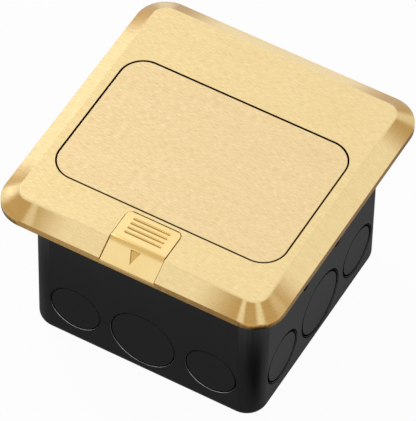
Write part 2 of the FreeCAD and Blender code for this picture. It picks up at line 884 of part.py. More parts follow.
def build_quadrant():
    pitch_deg = 360.0 / quadrant_teeth
    towards = 180 + pinion_deg
    count = int(math.ceil(open_deg / pitch_deg)) + 2
    points = []
    for i in range(count):
        centre = towards + (i - 0.5) * pitch_deg
        points.extend(tooth_points(quadrant_teeth, centre, 0.9 * gear_module, 1.15 * gear_module))
    first = math.radians(towards - 0.85 * pitch_deg)
    last = math.radians(towards + (count - 1.15) * pitch_deg)
    root = pitch_r - 1.15 * gear_module
    hub = [(hub_r, math.radians(towards + 70 + 50 * i)) for i in range(5)]
    points = [(root, first)] + points + [(root, last)] + hub
    x = -cheek_x
    plate = gear_plate(points, hinge_y, hinge_z, x - gear_t, x)
    reach = pitch_r + 2 * gear_module
    cap = block(x - gear_t - 1, x + 1, hinge_y - reach, hinge_y + reach, lid_z - 0.2, lid_z + reach)
    bore = rod_x(pin_r + 0.3, x - gear_t - 1, x + 1, hinge_y, hinge_z)
    holes = [rod_x(m3_r, x - gear_t - 1, x + 1, y, z) for y, z in quadrant_screw_places()]
    return plate.cut([cap, bore] + holes)


def quadrant_screw_places():
    return [polar(quadrant_screw_at, degrees) for degrees in quadrant_screw_deg]


def build_quadrant_screws():
    x = -cheek_x - gear_t
    head = rod_x(1.45, x + 0.3, x + gear_t + 2.2, 0, 0)
    screws = []
    for y, z in quadrant_screw_places():
        screw = head.copy()
        screw.translate(V(0, y, z))
        screws.append(screw)
    return screws


def build_pinion():
    y, z = polar(gear_centres, pinion_deg)
    points = []
    for i in range(pinion_teeth):
        centre = pinion_deg + i * 360.0 / pinion_teeth
        points.extend(tooth_points(pinion_teeth, centre, 0.9 * gear_module, 1.15 * gear_module))
    x1 = -cheek_x - 0.4
    x0 = -arm_x + 0.3
    gear = gear_plate(points, y, z, x0, x1)
    shaft = rod_x(shaft_r, -arm_x - arm_t - damper_t + 1.0, x0 + 0.5, y, z)
    return gear.fuse(shaft).removeSplitter()


def build_damper_housing():
    y, z = polar(gear_centres, pinion_deg)
    x1 = -arm_x - arm_t
    x0 = x1 - damper_t
    half = damper_screw_pitch / 2
    drum = rod_x(damper_drum_r, x0, x1, y, z)
    ear = damper_ear_r
    ears = side_plate([
        (y - half - ear, z - ear, ear - 0.2),
        (y + half + ear, z - ear, ear - 0.2),
        (y + half + ear, z + ear, ear - 0.2),
        (y - half - ear, z + ear, ear - 0.2),
    ], x1 - damper_ear_t, x1)
    bore = rod_x(shaft_r + pin_run_fit, x0 + 0.7, x1 + 1, y, z)
    holes = [rod_x(damper_screw_r, x0, x1 + 1, sy, sz) for sy, sz in damper_screw_places()]
    return drum.fuse(ears).cut([bore] + holes).removeSplitter()


def build_damper_screws():
    x = -arm_x - arm_t - damper_ear_t
    screw = pan_screw(damper_screw_r - 0.03, 1.9 * damper_screw_r, 1.3, damper_ear_t + 2.5)
    return [placed(screw, V(x, y, z), V(-1, 0, 0)) for y, z in damper_screw_places()]


# Lid with its bosses

boss_places = [
    (-lid_boss_front_x, lid_boss_front_y),
    (lid_boss_front_x, lid_boss_front_y),
    (-lid_boss_rear_x, lid_boss_rear_y),
    (lid_boss_rear_x, lid_boss_rear_y),
]


def build_lid():
    x = lid_w / 2
    plate = slab(-x, x, lid_front_y, lid_rear_y, lid_corner_r, lid_z, top_z)
    rim = [edge for edge in plate.Edges if edge.BoundBox.ZMin > top_z - 0.001]
    plate = plate.makeChamfer(lid_edge_chamfer, rim)
    bosses = [rod_z(lid_boss_r, lid_z - deck_t, lid_z + 0.2, bx, by) for bx, by in boss_places]
    bores = [rod_z(m3_r, lid_z - deck_t - 1, top_z - lid_screw_skin, bx, by)
             for bx, by in boss_places]
    return plate.fuse(bosses).cut(bores).removeSplitter()


def build_lid_screws():
    screw = pan_screw(m3_r - 0.05, m3_head_r + 0.9, 1.6, deck_t + 0.9)
    return [placed(screw, V(x, y, lid_z - deck_t), V(0, 0, -1)) for x, y in boss_places]


# Carriage: the tilting socket holder under the lid

face_top = polar(carriage_r, face_top_deg)
face_end = polar(carriage_r, face_end_deg)
face_mid = ((face_top[0] + face_end[0]) / 2, (face_top[1] + face_end[1]) / 2)
chord = math.dist(face_top, face_end)
face_turn = math.degrees(math.atan2(face_top[1] - face_end[1], face_top[0] - face_end[0]))
deck_y0 = hinge_y - math.sqrt(carriage_r ** 2 - (lid_z - hinge_z) ** 2)
deck_y1 = lid_rear_y - deck_rear_in
lip_r = carriage_r + lip_h


def on_face(shape):
    """Puts a shape from the socket face's own axes (X across, Y up it, Z out) in place."""
    copy = shape.copy()
    turn = FreeCAD.Rotation(V(1, 0, 0), face_turn)
    place = FreeCAD.Placement(V(0, face_mid[0], face_mid[1]), turn)
    copy.Placement = place.multiply(shape.Placement)
    return copy


def face_point(up, out):
    """(y, z) of a point given up the socket face and out of it."""
    angle = math.radians(face_turn)
    y = face_mid[0] + up * math.cos(angle) - out * math.sin(angle)
    z = face_mid[1] + up * math.sin(angle) + out * math.cos(angle)
    return y, z


def build_carriage():
    half = chord / 2
    top_in = face_point(half, -face_plate_t)
    end_in = face_point(-half, -face_plate_t)
    cheek = side_plate([
        (deck_y0, lid_z, 0),
        (face_top[0], face_top[1], 0),
        (top_in[0], top_in[1], 0),
        (end_in[0], end_in[1], 0),
        polar(lobe_r, lobe_deg[0]) + (4.0,),
        polar(lobe_r - 1, lobe_deg[1]) + (3.0,),
        (deck_y1, lid_z - deck_t, 0.5),
        (deck_y1, lid_z, 0),
    ], cheek_x - cheek_t, cheek_x)
    lip = side_plate([
        polar(carriage_r - 6, lip_deg) + (0,),
        polar(lip_r, lip_deg) + (0,),
        polar(lip_r, lip_end_deg) + (1.0,),
        polar(carriage_r - 6, lip_end_deg) + (0,),
    ], cheek_x - lip_w, cheek_x)
    knuckle = side_plate([
        (hinge_y - knuckle_half, lid_z, 0),
        (hinge_y - knuckle_half, hinge_z - knuckle_drop, 2.8),
        (hinge_y + knuckle_half, hinge_z - knuckle_drop, 2.8),
        (hinge_y + knuckle_half, lid_z, 0),
    ], pin_in_x - 0.6, pin_in_x - 0.6 + knuckle_t)
    side = cheek.fuse([lip, knuckle])
    inner = cheek_x - cheek_t
    deck = block(-inner - 0.5, inner + 0.5, deck_y0, deck_y1, lid_z - deck_t, lid_z)
    behind = face_point(half, -face_plate_t - bar_t)
    header = side_plate([
        (deck_y0, lid_z, 0),
        (face_top[0], face_top[1], 0),
        (top_in[0], top_in[1], 0),
        (behind[0], behind[1], 0),
        (deck_y0 + header_t, behind[1] + 1.2, 0),
        (deck_y0 + header_t, lid_z, 0),
    ], -inner - 0.5, inner + 0.5)
    low = -face_plate_t - bar_t
    top_bar = on_face(block(-inner - 0.5, inner + 0.5, half - bar_w, half, low, -face_plate_t))
    end_bar = on_face(block(-inner - 0.5, inner + 0.5, -half, bar_w - half, low, -face_plate_t))
    carriage = side.fuse([mirrored(side), deck, header, top_bar, end_bar])
    cuts = []
    for sign in (-1, 1):
        x0, x1 = sorted((sign * (pin_in_x - 0.6 + knuckle_t), sign * inner))
        cuts.append(block(x0, x1, hinge_y - knuckle_half - 0.2, deck_y1 + 1,
                          lid_z - deck_t - 1, lid_z + 1))
        x0, x1 = sorted((sign * (pin_in_x - 0.1), sign * (cheek_x + 1)))
        cuts.append(rod_x(pin_r + pin_run_fit, x0, x1, hinge_y, hinge_z))
    for x, y in boss_places:
        cuts.append(rod_z(lid_boss_r, lid_z - deck_t - 1, lid_z + 1, x, y))
    cuts.append(catch_pocket())
    for y, z in quadrant_screw_places():
        cuts.append(rod_x(m3_r, -cheek_x - 1, -cheek_x + 2.4, y, z))
    for x, v in plate_screw_places():
        cuts.append(on_face(rod_z(plate_screw_r, low - 0.1, 0, x, v)))
    for x, v in strap_screw_places():
        cuts.append(on_face(rod_z(plate_screw_r, low - 1, -face_plate_t, x, v)))
    return carriage.cut(cuts).removeSplitter()


def catch_outline():
    low = bolt_z - 0.3
    back = deck_y0 + 3.2
    return low, back


def catch_pocket():
    low, back = catch_outline()
    half = catch_w / 2
    return block(-half, half, deck_y0 - 1, back, low - catch_t, bolt_top_z + 0.3)


def build_catch_plate():
    """Steel angle in the carriage's front that the bolt holds down."""
    low, back = catch_outline()
    half = catch_w / 2
    foot = block(-half, half, deck_y0 + 0.3, back, low - catch_t, low)
    wall = block(-half, half, back - catch_t, back, low, bolt_top_z + 0.3)
    return foot.fuse(wall).removeSplitter()


def build_stop_pads():
    top_deg = lip_deg - math.degrees(pad_t / lip_r)
    pad = side_plate([
        polar(carriage_r + 0.7, lip_deg) + (0,),
        polar(lip_r - 0.2, lip_deg) + (0,),
        polar(lip_r - 0.2, top_deg) + (0.4,),
        polar(carriage_r + 0.7, top_deg) + (0.4,),
    ], cheek_x - lip_w, cheek_x)
    return both_sides(pad)


# Socket face

def plate_screw_places():
    v = chord / 2 - bar_w / 2
    return [(x, y) for x in (-plate_screw_x, plate_screw_x) for y in (-v, v)]


def strap_screw_places():
    v = chord / 2 - bar_w / 2
    return [(x, y) for x in (-strap_screw_x, strap_screw_x) for y in (-v, v)]


def build_face_plate():
    half = chord / 2
    plate = slab(-cheek_x, cheek_x, -half, half, 0.8, -face_plate_t, 0)
    x = receptacle_w / 2 + window_clear
    y = receptacle_h / 2 + window_clear
    cuts = [slab(-x, x, -y, y, 3.0, -face_plate_t - 1, 1)]
    for px, py in plate_screw_places():
        depth = plate_screw_head_r - plate_screw_r
        cuts.append(rod_z(plate_screw_r, -face_plate_t - 1, 1, px, py))
        cuts.append(Part.makeCone(plate_screw_r, plate_screw_head_r, depth, V(px, py, -depth)))
    return on_face(plate.cut(cuts))


def build_plate_screws():
    screws = []
    depth = plate_screw_head_r - plate_screw_r
    for x, y in plate_screw_places():
        head = Part.makeCone(plate_screw_r, plate_screw_head_r, depth, V(x, y, -depth))
        shank = rod_z(plate_screw_r - 0.04, -face_plate_t - bar_t + 0.3, -depth, x, y)
        screws.append(on_face(head.fuse(shank)))
    return screws


strap_z = -face_plate_t - bar_t
body_top = strap_z - strap_t
body_z = body_top - body_depth


def outlet_cuts(z0, z1):
    """Blade slots and earth holes of both outlets."""
    cuts = []
    for x in (-outlet_x, outlet_x):
        blade_x = x - blade_shift
        for y in (-blade_pitch / 2, blade_pitch / 2):
            cuts.append(block(blade_x - slot_len / 2, blade_x + slot_len / 2,
                              y - slot_w / 2, y + slot_w / 2, z0, z1))
        cuts.append(rod_z(ground_r, z0, z1, blade_x + ground_offset, 0))
    return cuts


def build_receptacle_face():
    x = receptacle_w / 2
    y = receptacle_h / 2
    face = slab(-x, x, -y, y, 2.7, strap_z, face_proud)
    rim = [edge for edge in face.Edges if edge.BoundBox.ZMin > face_proud - 0.001]
    face = face.makeChamfer(0.5, rim)
    return on_face(face.cut(outlet_cuts(strap_z - 1, face_proud + 1)))


def build_receptacle_strap():
    x = receptacle_w / 2
    y = receptacle_h / 2 - strap_inset
    ring = slab(-x, x, -y, y, 2.0, body_top, strap_z)
    x = strap_ear_w / 2
    y = chord / 2 - 0.5
    ears = slab(-x, x, -y, y, 2.0, body_top, strap_z)
    x = body_w / 2 - 1.5
    y = body_h / 2 - 3.0
    window = slab(-x, x, -y, y, 1.0, body_top - 1, strap_z + 1)
    holes = [rod_z(plate_screw_r + 0.1, body_top - 1, strap_z + 1, x, y)
             for x, y in strap_screw_places()]
    return on_face(ring.fuse(ears).cut([window] + holes).removeSplitter())


def build_strap_screws():
    screw = pan_screw(plate_screw_r - 0.04, 2.1, 1.5, strap_t + bar_t - 0.4)
    return [on_face(placed(screw, V(x, y, body_top), V(0, 0, -1)))
            for x, y in strap_screw_places()]


channel_half = channel_w / 2
channel_x0 = -outlet_x - blade_shift - slot_len / 2 - 0.8
channel_x1 = outlet_x - blade_shift + slot_len / 2 + 0.8
contact_z1 = body_top - contact_recess
contact_z0 = contact_z1 - contact_h
terminal_z = body_top - terminal_drop


def terminal_places(side):
    return [(-terminal_x, side), (terminal_x, side)]


def build_receptacle_body():
    body = slab(-body_w / 2, body_w / 2, -body_h / 2, body_h / 2, 2.0, body_z, body_top)
    low = [edge for edge in body.Edges if edge.BoundBox.ZMax < body_z + 0.001]
    body = body.makeChamfer(1.0, low)
    cuts = []
    for y in (-blade_pitch / 2, blade_pitch / 2):
        cuts.append(block(channel_x0, channel_x1, y - channel_half, y + channel_half,
                          contact_z0, body_top + 1))
    for x in (-outlet_x, outlet_x):
        px = x - blade_shift + ground_offset
        cuts.append(rod_z(sleeve_r + 0.2, contact_z0, body_top + 1, px, 0))
    for side in (-1, 1):
        for x, s in terminal_places(side):
            y0, y1 = sorted((s * (body_h / 2 - 3.6), s * (body_h / 2 + 1)))
            cuts.append(rod_y(terminal_r, y0, y1, x, terminal_z))
    cuts.append(rod_x(terminal_r, body_w / 2 - 3.6, body_w / 2 + 1, ground_terminal_y, terminal_z))
    return on_face(body.cut(cuts))


def contact_strip(side):
    """Channel-shaped bronze strip whose leaves grip the plug blades of both outlets."""
    y = side * blade_pitch / 2
    x0 = channel_x0 + 0.5
    x1 = channel_x1 - 0.5
    half = contact_w / 2
    leaf = half - contact_t
    outer = block(x0, x1, y - half, y + half, contact_z0, contact_z1)
    gap = block(x0 - 1, x1 + 1, y - leaf, y + leaf, contact_z0 + 0.6, contact_z1 + 1)
    notch = block(-5, 3, y - half - 0.5, y + half + 0.5, contact_z0 + 2.5, contact_z1 + 1)
    return on_face(outer.cut([gap, notch]))


def build_ground_contacts():
    sleeves = []
    for x in (-outlet_x, outlet_x):
        px = x - blade_shift + ground_offset
        sleeve = rod_z(sleeve_r, contact_z0, contact_z1, px, 0)
        bore = rod_z(ground_r - 0.1, contact_z0 + 0.8, contact_z1 + 1, px, 0)
        split = block(px - 0.4, px + 0.4, -4, 4, contact_z0 + 3, contact_z1 + 1)
        sleeves.append(on_face(sleeve.cut([bore, split])))
    return sleeves


def build_terminal_screws(side):
    screw = pan_screw(terminal_r - 0.03, 3.3, 1.9, 3.4)
    return [on_face(placed(screw, V(x, s * body_h / 2, terminal_z), V(0, s, 0)))
            for x, s in terminal_places(side)]


def build_ground_terminal():
    screw = pan_screw(terminal_r - 0.03, 3.3, 1.9, 3.4)
    return on_face(placed(screw, V(body_w / 2, ground_terminal_y, terminal_z), V(1, 0, 0)))


os.makedirs("parts", exist_ok=True)

save("back_box", [build_back_box()])
save("knockouts_small", build_knockouts(knockout_small_r))
save("knockouts_large", build_knockouts(knockout_large_r))
save("cover_lugs", build_cover_lugs())
save("box_ground_screw", [build_earth_screw()])
save("cover_gasket", [build_gasket()])
save("cover_frame", [build_cover_frame()])
save("cover_screws", build_cover_screws())
save("lid_seal", [build_lid_seal()])
save("thumb_slide", [build_thumb_slide()])
save("latch_bolt", [build_latch_bolt()])
save("latch_screw", [build_latch_screw()])
save("latch_keeper", [build_latch_keeper()])
save("keeper_screws", build_keeper_screws())
save("latch_springs", build_latch_springs())
save("hinge_chassis", [build_hinge_chassis()])
save("chassis_screws", build_chassis_screws())
save("hinge_pins", build_hinge_pins())
save("hinge_clips", build_hinge_clips())
save("torsion_springs", build_torsion_springs())
save("damper_quadrant", [build_quadrant()])
save("quadrant_screws", build_quadrant_screws())
save("damper_pinion", [build_pinion()])
save("damper_housing", [build_damper_housing()])
save("damper_screws", build_damper_screws())
save("lid_plate", [build_lid()])
save("lid_screws", build_lid_screws())
save("carriage", [build_carriage()])
save("catch_plate", [build_catch_plate()])
save("stop_pads", build_stop_pads())
save("face_plate", [build_face_plate()])
save("face_plate_screws", build_plate_screws())
save("receptacle_face", [build_receptacle_face()])
save("receptacle_strap", [build_receptacle_strap()])
save("strap_screws", build_strap_screws())
save("receptacle_body", [build_receptacle_body()])
save("line_contact", [contact_strip(1)])
save("neutral_contact", [contact_strip(-1)])
save("ground_contacts", build_ground_contacts())
save("line_screws", build_terminal_screws(1))
save("neutral_screws", build_terminal_screws(-1))
save("ground_terminal", [build_ground_terminal()])
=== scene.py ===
import math

import bpy
from mathutils import Matrix, Vector


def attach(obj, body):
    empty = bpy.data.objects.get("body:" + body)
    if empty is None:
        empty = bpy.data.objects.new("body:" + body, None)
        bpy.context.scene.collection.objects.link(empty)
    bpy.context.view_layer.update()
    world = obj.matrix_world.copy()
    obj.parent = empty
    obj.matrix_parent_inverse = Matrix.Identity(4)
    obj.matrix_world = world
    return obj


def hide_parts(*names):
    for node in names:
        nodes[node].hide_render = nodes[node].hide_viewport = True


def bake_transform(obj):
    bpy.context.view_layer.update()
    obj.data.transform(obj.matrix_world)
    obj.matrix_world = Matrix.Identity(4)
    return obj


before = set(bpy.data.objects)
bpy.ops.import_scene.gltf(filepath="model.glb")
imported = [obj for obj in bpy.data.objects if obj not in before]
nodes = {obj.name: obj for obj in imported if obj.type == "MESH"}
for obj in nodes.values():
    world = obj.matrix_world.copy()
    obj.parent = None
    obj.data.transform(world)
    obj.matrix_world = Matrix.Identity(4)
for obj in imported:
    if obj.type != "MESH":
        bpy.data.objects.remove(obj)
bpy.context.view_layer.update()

# Studio. The camera looks down on the box from its front right corner through a long lens.
# The floor is pale board, and one soft lamp stands behind the left side. The front
# and right walls of the box mirror the painted shade that the floor shows to reflections.

MM = 0.001
CAMERA_AZIMUTH = 0.499
CAMERA_ELEVATION = 0.891
CAMERA_ROLL = 0.023
CAMERA_FROM_COVER_MM = Vector((-0.54, -22.829, 1762.61))
COVER_TOP_MM = 82.0
FOCAL_PIXELS = 4640.1
PHOTO_HEIGHT = 421
SENSOR_MM = 36.0

back = Vector((math.sin(CAMERA_AZIMUTH) * math.cos(CAMERA_ELEVATION),
               -math.cos(CAMERA_AZIMUTH) * math.cos(CAMERA_ELEVATION),
               math.sin(CAMERA_ELEVATION)))
right = Vector((math.cos(CAMERA_AZIMUTH), math.sin(CAMERA_AZIMUTH), 0.0))
up = back.cross(right)
rolled_right = right * math.cos(CAMERA_ROLL) + up * math.sin(CAMERA_ROLL)
rolled_up = up * math.cos(CAMERA_ROLL) - right * math.sin(CAMERA_ROLL)
turn = Matrix((rolled_right, rolled_up, back)).transposed()
eye = turn @ CAMERA_FROM_COVER_MM + Vector((0, 0, COVER_TOP_MM))

camera_data = bpy.data.cameras.new("photo_camera")
camera_data.sensor_width = SENSOR_MM
camera_data.lens = SENSOR_MM * FOCAL_PIXELS / PHOTO_HEIGHT
camera_data.clip_start = 0.01
camera_data.clip_end = 20.0
camera = bpy.data.objects.new("photo_camera", camera_data)
camera.matrix_world = Matrix.Translation(eye * MM) @ turn.to_4x4()
bpy.context.scene.collection.objects.link(camera)
bpy.context.scene.camera = camera
bpy.context.scene.view_settings.view_transform = "Standard"


def linear(hex_colour):
    """sRGB hex to the linear colour that shaders take."""
    values = [int(hex_colour[i:i + 2], 16) / 255 for i in (1, 3, 5)]
    return [v / 12.92 if v <= 0.04045 else ((v + 0.055) / 1.055) ** 2.4 for v in values] + [1.0]


def feed(tree, node, inputs):
    """Sets inputs of a node, or links them to the nodes and sockets given for them."""
    for name, value in inputs.items():
        if isinstance(value, bpy.types.Node):
            value = next(socket for socket in value.outputs if socket.enabled)
        if isinstance(value, bpy.types.NodeSocket):
            tree.links.new(value, node.inputs[name])
        else:
            node.inputs[name].default_value = value


def add(tree, kind, inputs=(), **settings):
    """One shader node with its settings, and its inputs by name or in their order."""
    node = tree.nodes.new("ShaderNode" + kind)
    for name, value in settings.items():
        setattr(node, name, value)
    feed(tree, node, inputs if isinstance(inputs, dict) else dict(enumerate(inputs)))
    return node


def new_material(name):
    material = bpy.data.materials.new(name)
    material.use_nodes = True
    material.node_tree.nodes.clear()
    return material, material.node_tree


def deselect():
    bpy.ops.object.select_all(action="DESELECT")


# Sky: white to the camera and in reflections, softer as a light.
SKY_LIGHT = 0.6
world = bpy.data.worlds.new("studio")
bpy.context.scene.world = world
world.use_nodes = True
sky = world.node_tree
sky.nodes.clear()
rays = add(sky, "LightPath").outputs
seen = add(sky, "Math", (rays["Is Camera Ray"], rays["Is Glossy Ray"]), operation="MAXIMUM")
seen = add(sky, "Math", (seen, rays["Is Transmission Ray"]), operation="MAXIMUM")
lighting = add(sky, "Background", {"Color": linear("#F4F6FA"), "Strength": SKY_LIGHT})
backdrop = add(sky, "Background", {"Color": linear("#FFFFFF"), "Strength": 1.0})
add(sky, "OutputWorld", {"Surface": add(sky, "MixShader", (seen, lighting, backdrop))})

# Floor: pale board. The camera sees it white with a faint shadow. Reflections see painted shade
# on it instead: grey close round the box, black at its front right corner, and white further
# off. The white starts nearest to the left half of the front, where the cover's edge mirrors it.
FLOOR_SIZE = 8.0
FLOOR_Z = -0.0004
FLOOR_SHADOW = 0.04
# Where each painted shade fades in or out, in metres from the middle of the box.
GREY_X, GREY_LEVELS = (0.045, 0.060), (0.19, 0.285)
BLACK_X, BLACK_Y, BLACK_END = (0.045, 0.066), (-0.036, -0.054), (0.100, 0.108)
WHITE_FROM = (0.104, 0.130)
WHITE_BACK_X, WHITE_BACK = (-0.034, 0.004), 0.013

deselect()
bpy.ops.mesh.primitive_plane_add(size=FLOOR_SIZE, location=(0, 0, FLOOR_Z))
floor = bpy.context.object
floor.name = "floor"
floor_paint, tree = new_material("white_painted_board")
place = add(tree, "TexCoord").outputs["Object"]
split = add(tree, "SeparateXYZ", (place,)).outputs
across = add(tree, "Math", (split["X"],), operation="ABSOLUTE")
along = add(tree, "Math", (split["Y"],), operation="ABSOLUTE")
outermost = add(tree, "Math", (across, along), operation="MAXIMUM")
painted_grey_reflection = add(tree, "MapRange", (split["X"], *GREY_X, *GREY_LEVELS),
           interpolation_type="SMOOTHSTEP")
beside = add(tree, "MapRange", (split["X"], *BLACK_X, 0.0, 1.0),
             interpolation_type="SMOOTHSTEP")
before = add(tree, "MapRange", (split["Y"], *BLACK_Y, 0.0, 1.0),
             interpolation_type="SMOOTHSTEP")
near = add(tree, "MapRange", (outermost, *BLACK_END, 1.0, 0.0),
           interpolation_type="SMOOTHSTEP")
painted_black_reflection = add(tree, "Math", (beside, before), operation="MULTIPLY")
painted_black_reflection = add(tree, "Math", (painted_black_reflection, near), operation="MULTIPLY")
set_back = add(tree, "MapRange", (split["X"], *WHITE_BACK_X, 0.0, WHITE_BACK),
               interpolation_type="SMOOTHSTEP")
far = add(tree, "Math", (outermost, set_back), operation="SUBTRACT")
far = add(tree, "MapRange", (far, *WHITE_FROM, 0.0, 1.0), interpolation_type="SMOOTHSTEP")
painted_reflection_level = add(tree, "Math", (1.0, painted_black_reflection), operation="SUBTRACT")
painted_reflection_level = add(tree, "Math", (painted_grey_reflection, painted_reflection_level), operation="MULTIPLY")
painted_reflection_level = add(tree, "Math", (painted_reflection_level, far), operation="MAXIMUM")
matt = add(tree, "BsdfDiffuse", {"Color": linear("#DCDCDA")})
white = add(tree, "Emission", {"Color": linear("#FFFFFF"), "Strength": 1.0})
# Reflections see only this painted shade, never the lit floor.
painted_reflections = add(tree, "Emission", {"Color": linear("#FFFFFF"), "Strength": painted_reflection_level})
rays = add(tree, "LightPath").outputs
to_camera = add(tree, "MixShader", (1 - FLOOR_SHADOW, matt, white))
seen = add(tree, "MixShader", (rays["Is Camera Ray"], matt, to_camera))
gloss = add(tree, "Math", (rays["Is Glossy Ray"], rays["Is Transmission Ray"]),
            operation="MAXIMUM")
add(tree, "OutputMaterial", {"Surface": add(tree, "MixShader", (gloss, seen, painted_reflections))})
floor.data.materials.append(floor_paint)

LAMP_PLACE = Vector((-1.1, 0.55, 0.85))
lamp_data = bpy.data.lights.new("soft_lamp", "AREA")
lamp_data.shape = "DISK"
lamp_data.size = 0.5
lamp_data.energy = 8.0
lamp = bpy.data.objects.new("soft_lamp", lamp_data)
lamp.location = LAMP_PLACE
lamp.rotation_euler = (-LAMP_PLACE).to_track_quat("-Z", "Y").to_euler()
bpy.context.scene.collection.objects.link(lamp)


# Back box, with its knockouts and lugs. Deep-drawn sheet steel, baked black enamel all over.
# The knockout discs are sheared from the wall and held by two ties. The lugs are spot-welded.

WELD = 0.000002
EDGE_ANGLE = math.radians(38)
CLOUD_MM = 50 / 3
GRAIN_RELIEF = 0.2


def dress(names, material, edge_mm=0.15):
    """Gives CAD pieces their material and a fine rounded edge that catches the light."""
    for name in names:
        piece = nodes[name]
        piece.data.materials.clear()
        piece.data.materials.append(material)
        weld = piece.modifiers.new("weld", "WELD")
        weld.merge_threshold = WELD
        if edge_mm:
            edge = piece.modifiers.new("edge", "BEVEL")
            edge.width = edge_mm * MM
            edge.segments = 2
            edge.limit_method = "ANGLE"
            edge.angle_limit = EDGE_ANGLE
            edge.harden_normals = True


def grained(name, colour, shade, grain_mm, roughness, spread=0.04, metallic=0.0, bump_mm=0.01):
    """Even fine-grained surface: a slow change of tone and a fine change of gloss and height."""
    material, tree = new_material(name)
    place = add(tree, "TexCoord").outputs["Object"]
    grain = add(tree, "TexNoise", {"Vector": place, "Scale": 1 / (grain_mm * MM),
                                   "Detail": 4.0})
    cloud = add(tree, "TexNoise", {"Vector": place, "Scale": 1 / (CLOUD_MM * MM),
                                   "Detail": 2.0})
    tone = add(tree, "Math", (cloud, 0.5), operation="MULTIPLY")
    tone = add(tree, "Math", (grain, 0.5, tone), operation="MULTIPLY_ADD")
    tones = add(tree, "ValToRGB", (tone,))
    for stop, at, hue in zip(tones.color_ramp.elements, (0.35, 0.65), (shade, colour)):
        stop.position = at
        stop.color = linear(hue)
    gloss = add(tree, "MapRange", (grain, 0.3, 0.7, roughness - spread, roughness + spread))
    bump = add(tree, "Bump", {"Height": grain, "Strength": GRAIN_RELIEF,
                              "Distance": bump_mm * MM})
    skin = add(tree, "BsdfPrincipled", {"Base Color": tones, "Metallic": metallic,
                                        "Roughness": gloss, "Normal": bump})
    add(tree, "OutputMaterial", {"Surface": skin})
    return material


def radius(tree, a, b):
    """Distance from the axis, from the two distances across it."""
    a_squared = add(tree, "Math", (a, a), operation="MULTIPLY")
    b_squared = add(tree, "Math", (b, b), operation="MULTIPLY")
    total = add(tree, "Math", (a_squared, b_squared), operation="ADD")
    return add(tree, "Math", (total,), operation="SQRT")


# Baked enamel: near black, smooth, with a soft sheen that mirrors the floor at a flat angle.
# The line round each knockout is painted shade: matt black, and wider on the side walls. The
# hole's sharp rim shows bare steel where the press broke the enamel, and on the side walls the
# rim is made fainter as painted shade.
BOX_HALF = 0.0503
KNOCKOUT_Z = 0.020
KNOCKOUT_PITCH = 0.030
SMALL_R = 0.0111
LARGE_R = 0.0142
RING_SHADE_INSIDE = 0.0001
RING_SHADE_HALF_W = (0.00032, 0.00046)
SIDE_RING_SHADE_WIDER = 0.0003
RIM_HALF_W = 0.00024
RIM_DEPTH = (0.00001, 0.00020)
SIDE_RIM_LOSS = 0.75

black_enamel = grained("baked_black_enamel", "#101011", "#0B0B0C", 0.5, 0.36)
tree = black_enamel.node_tree
skin = next(node for node in tree.nodes if node.type == "BSDF_PRINCIPLED")
place = add(tree, "TexCoord").outputs["Object"]
split = add(tree, "SeparateXYZ", (place,)).outputs
across = add(tree, "Math", (split["X"],), operation="ABSOLUTE")
along = add(tree, "Math", (split["Y"],), operation="ABSOLUTE")
outermost = add(tree, "Math", (across, along), operation="MAXIMUM")
sideways = add(tree, "Math", (across, along), operation="MINIMUM")
on_side = add(tree, "Math", (across, along), operation="GREATER_THAN")
height = add(tree, "Math", (split["Z"], KNOCKOUT_Z), operation="SUBTRACT")
from_pitch = add(tree, "Math", (sideways, KNOCKOUT_PITCH), operation="SUBTRACT")
small_ring = add(tree, "Math", (radius(tree, from_pitch, height), SMALL_R),
                 operation="SUBTRACT")
large_ring = add(tree, "Math", (radius(tree, sideways, height), LARGE_R),
                 operation="SUBTRACT")
ring_shade_away = []
rim_away = []
for ring in (small_ring, large_ring):
    inner = add(tree, "Math", (ring, RING_SHADE_INSIDE), operation="ADD")
    ring_shade_away.append(add(tree, "Math", (inner,), operation="ABSOLUTE"))
    rim_away.append(add(tree, "Math", (ring,), operation="ABSOLUTE"))
away = add(tree, "Math", ring_shade_away, operation="MINIMUM")
away = add(tree, "Math", (on_side, -SIDE_RING_SHADE_WIDER, away), operation="MULTIPLY_ADD")
painted_ring_shade = add(tree, "MapRange", (away, *RING_SHADE_HALF_W, 1.0, 0.0),
            interpolation_type="SMOOTHSTEP")
away = add(tree, "Math", rim_away, operation="MINIMUM")
depth = add(tree, "Math", (BOX_HALF, outermost), operation="SUBTRACT")
sunk = add(tree, "Math", (depth, RIM_DEPTH[0]), operation="GREATER_THAN")
shallow = add(tree, "Math", (depth, RIM_DEPTH[1]), operation="LESS_THAN")
banded = add(tree, "Math", (sunk, shallow), operation="MULTIPLY")
on_rim = add(tree, "Math", (away, RIM_HALF_W), operation="LESS_THAN")
on_rim = add(tree, "Math", (on_rim, banded), operation="MULTIPLY")
# Painted shade: the bare-steel rim is made fainter on the side walls.
strength = add(tree, "Math", (on_side, -SIDE_RIM_LOSS, 1.0), operation="MULTIPLY_ADD")
on_rim = add(tree, "Math", (on_rim, strength), operation="MULTIPLY")
enamel = skin.inputs["Base Color"].links[0].from_socket
enamel_gloss = skin.inputs["Roughness"].links[0].from_socket
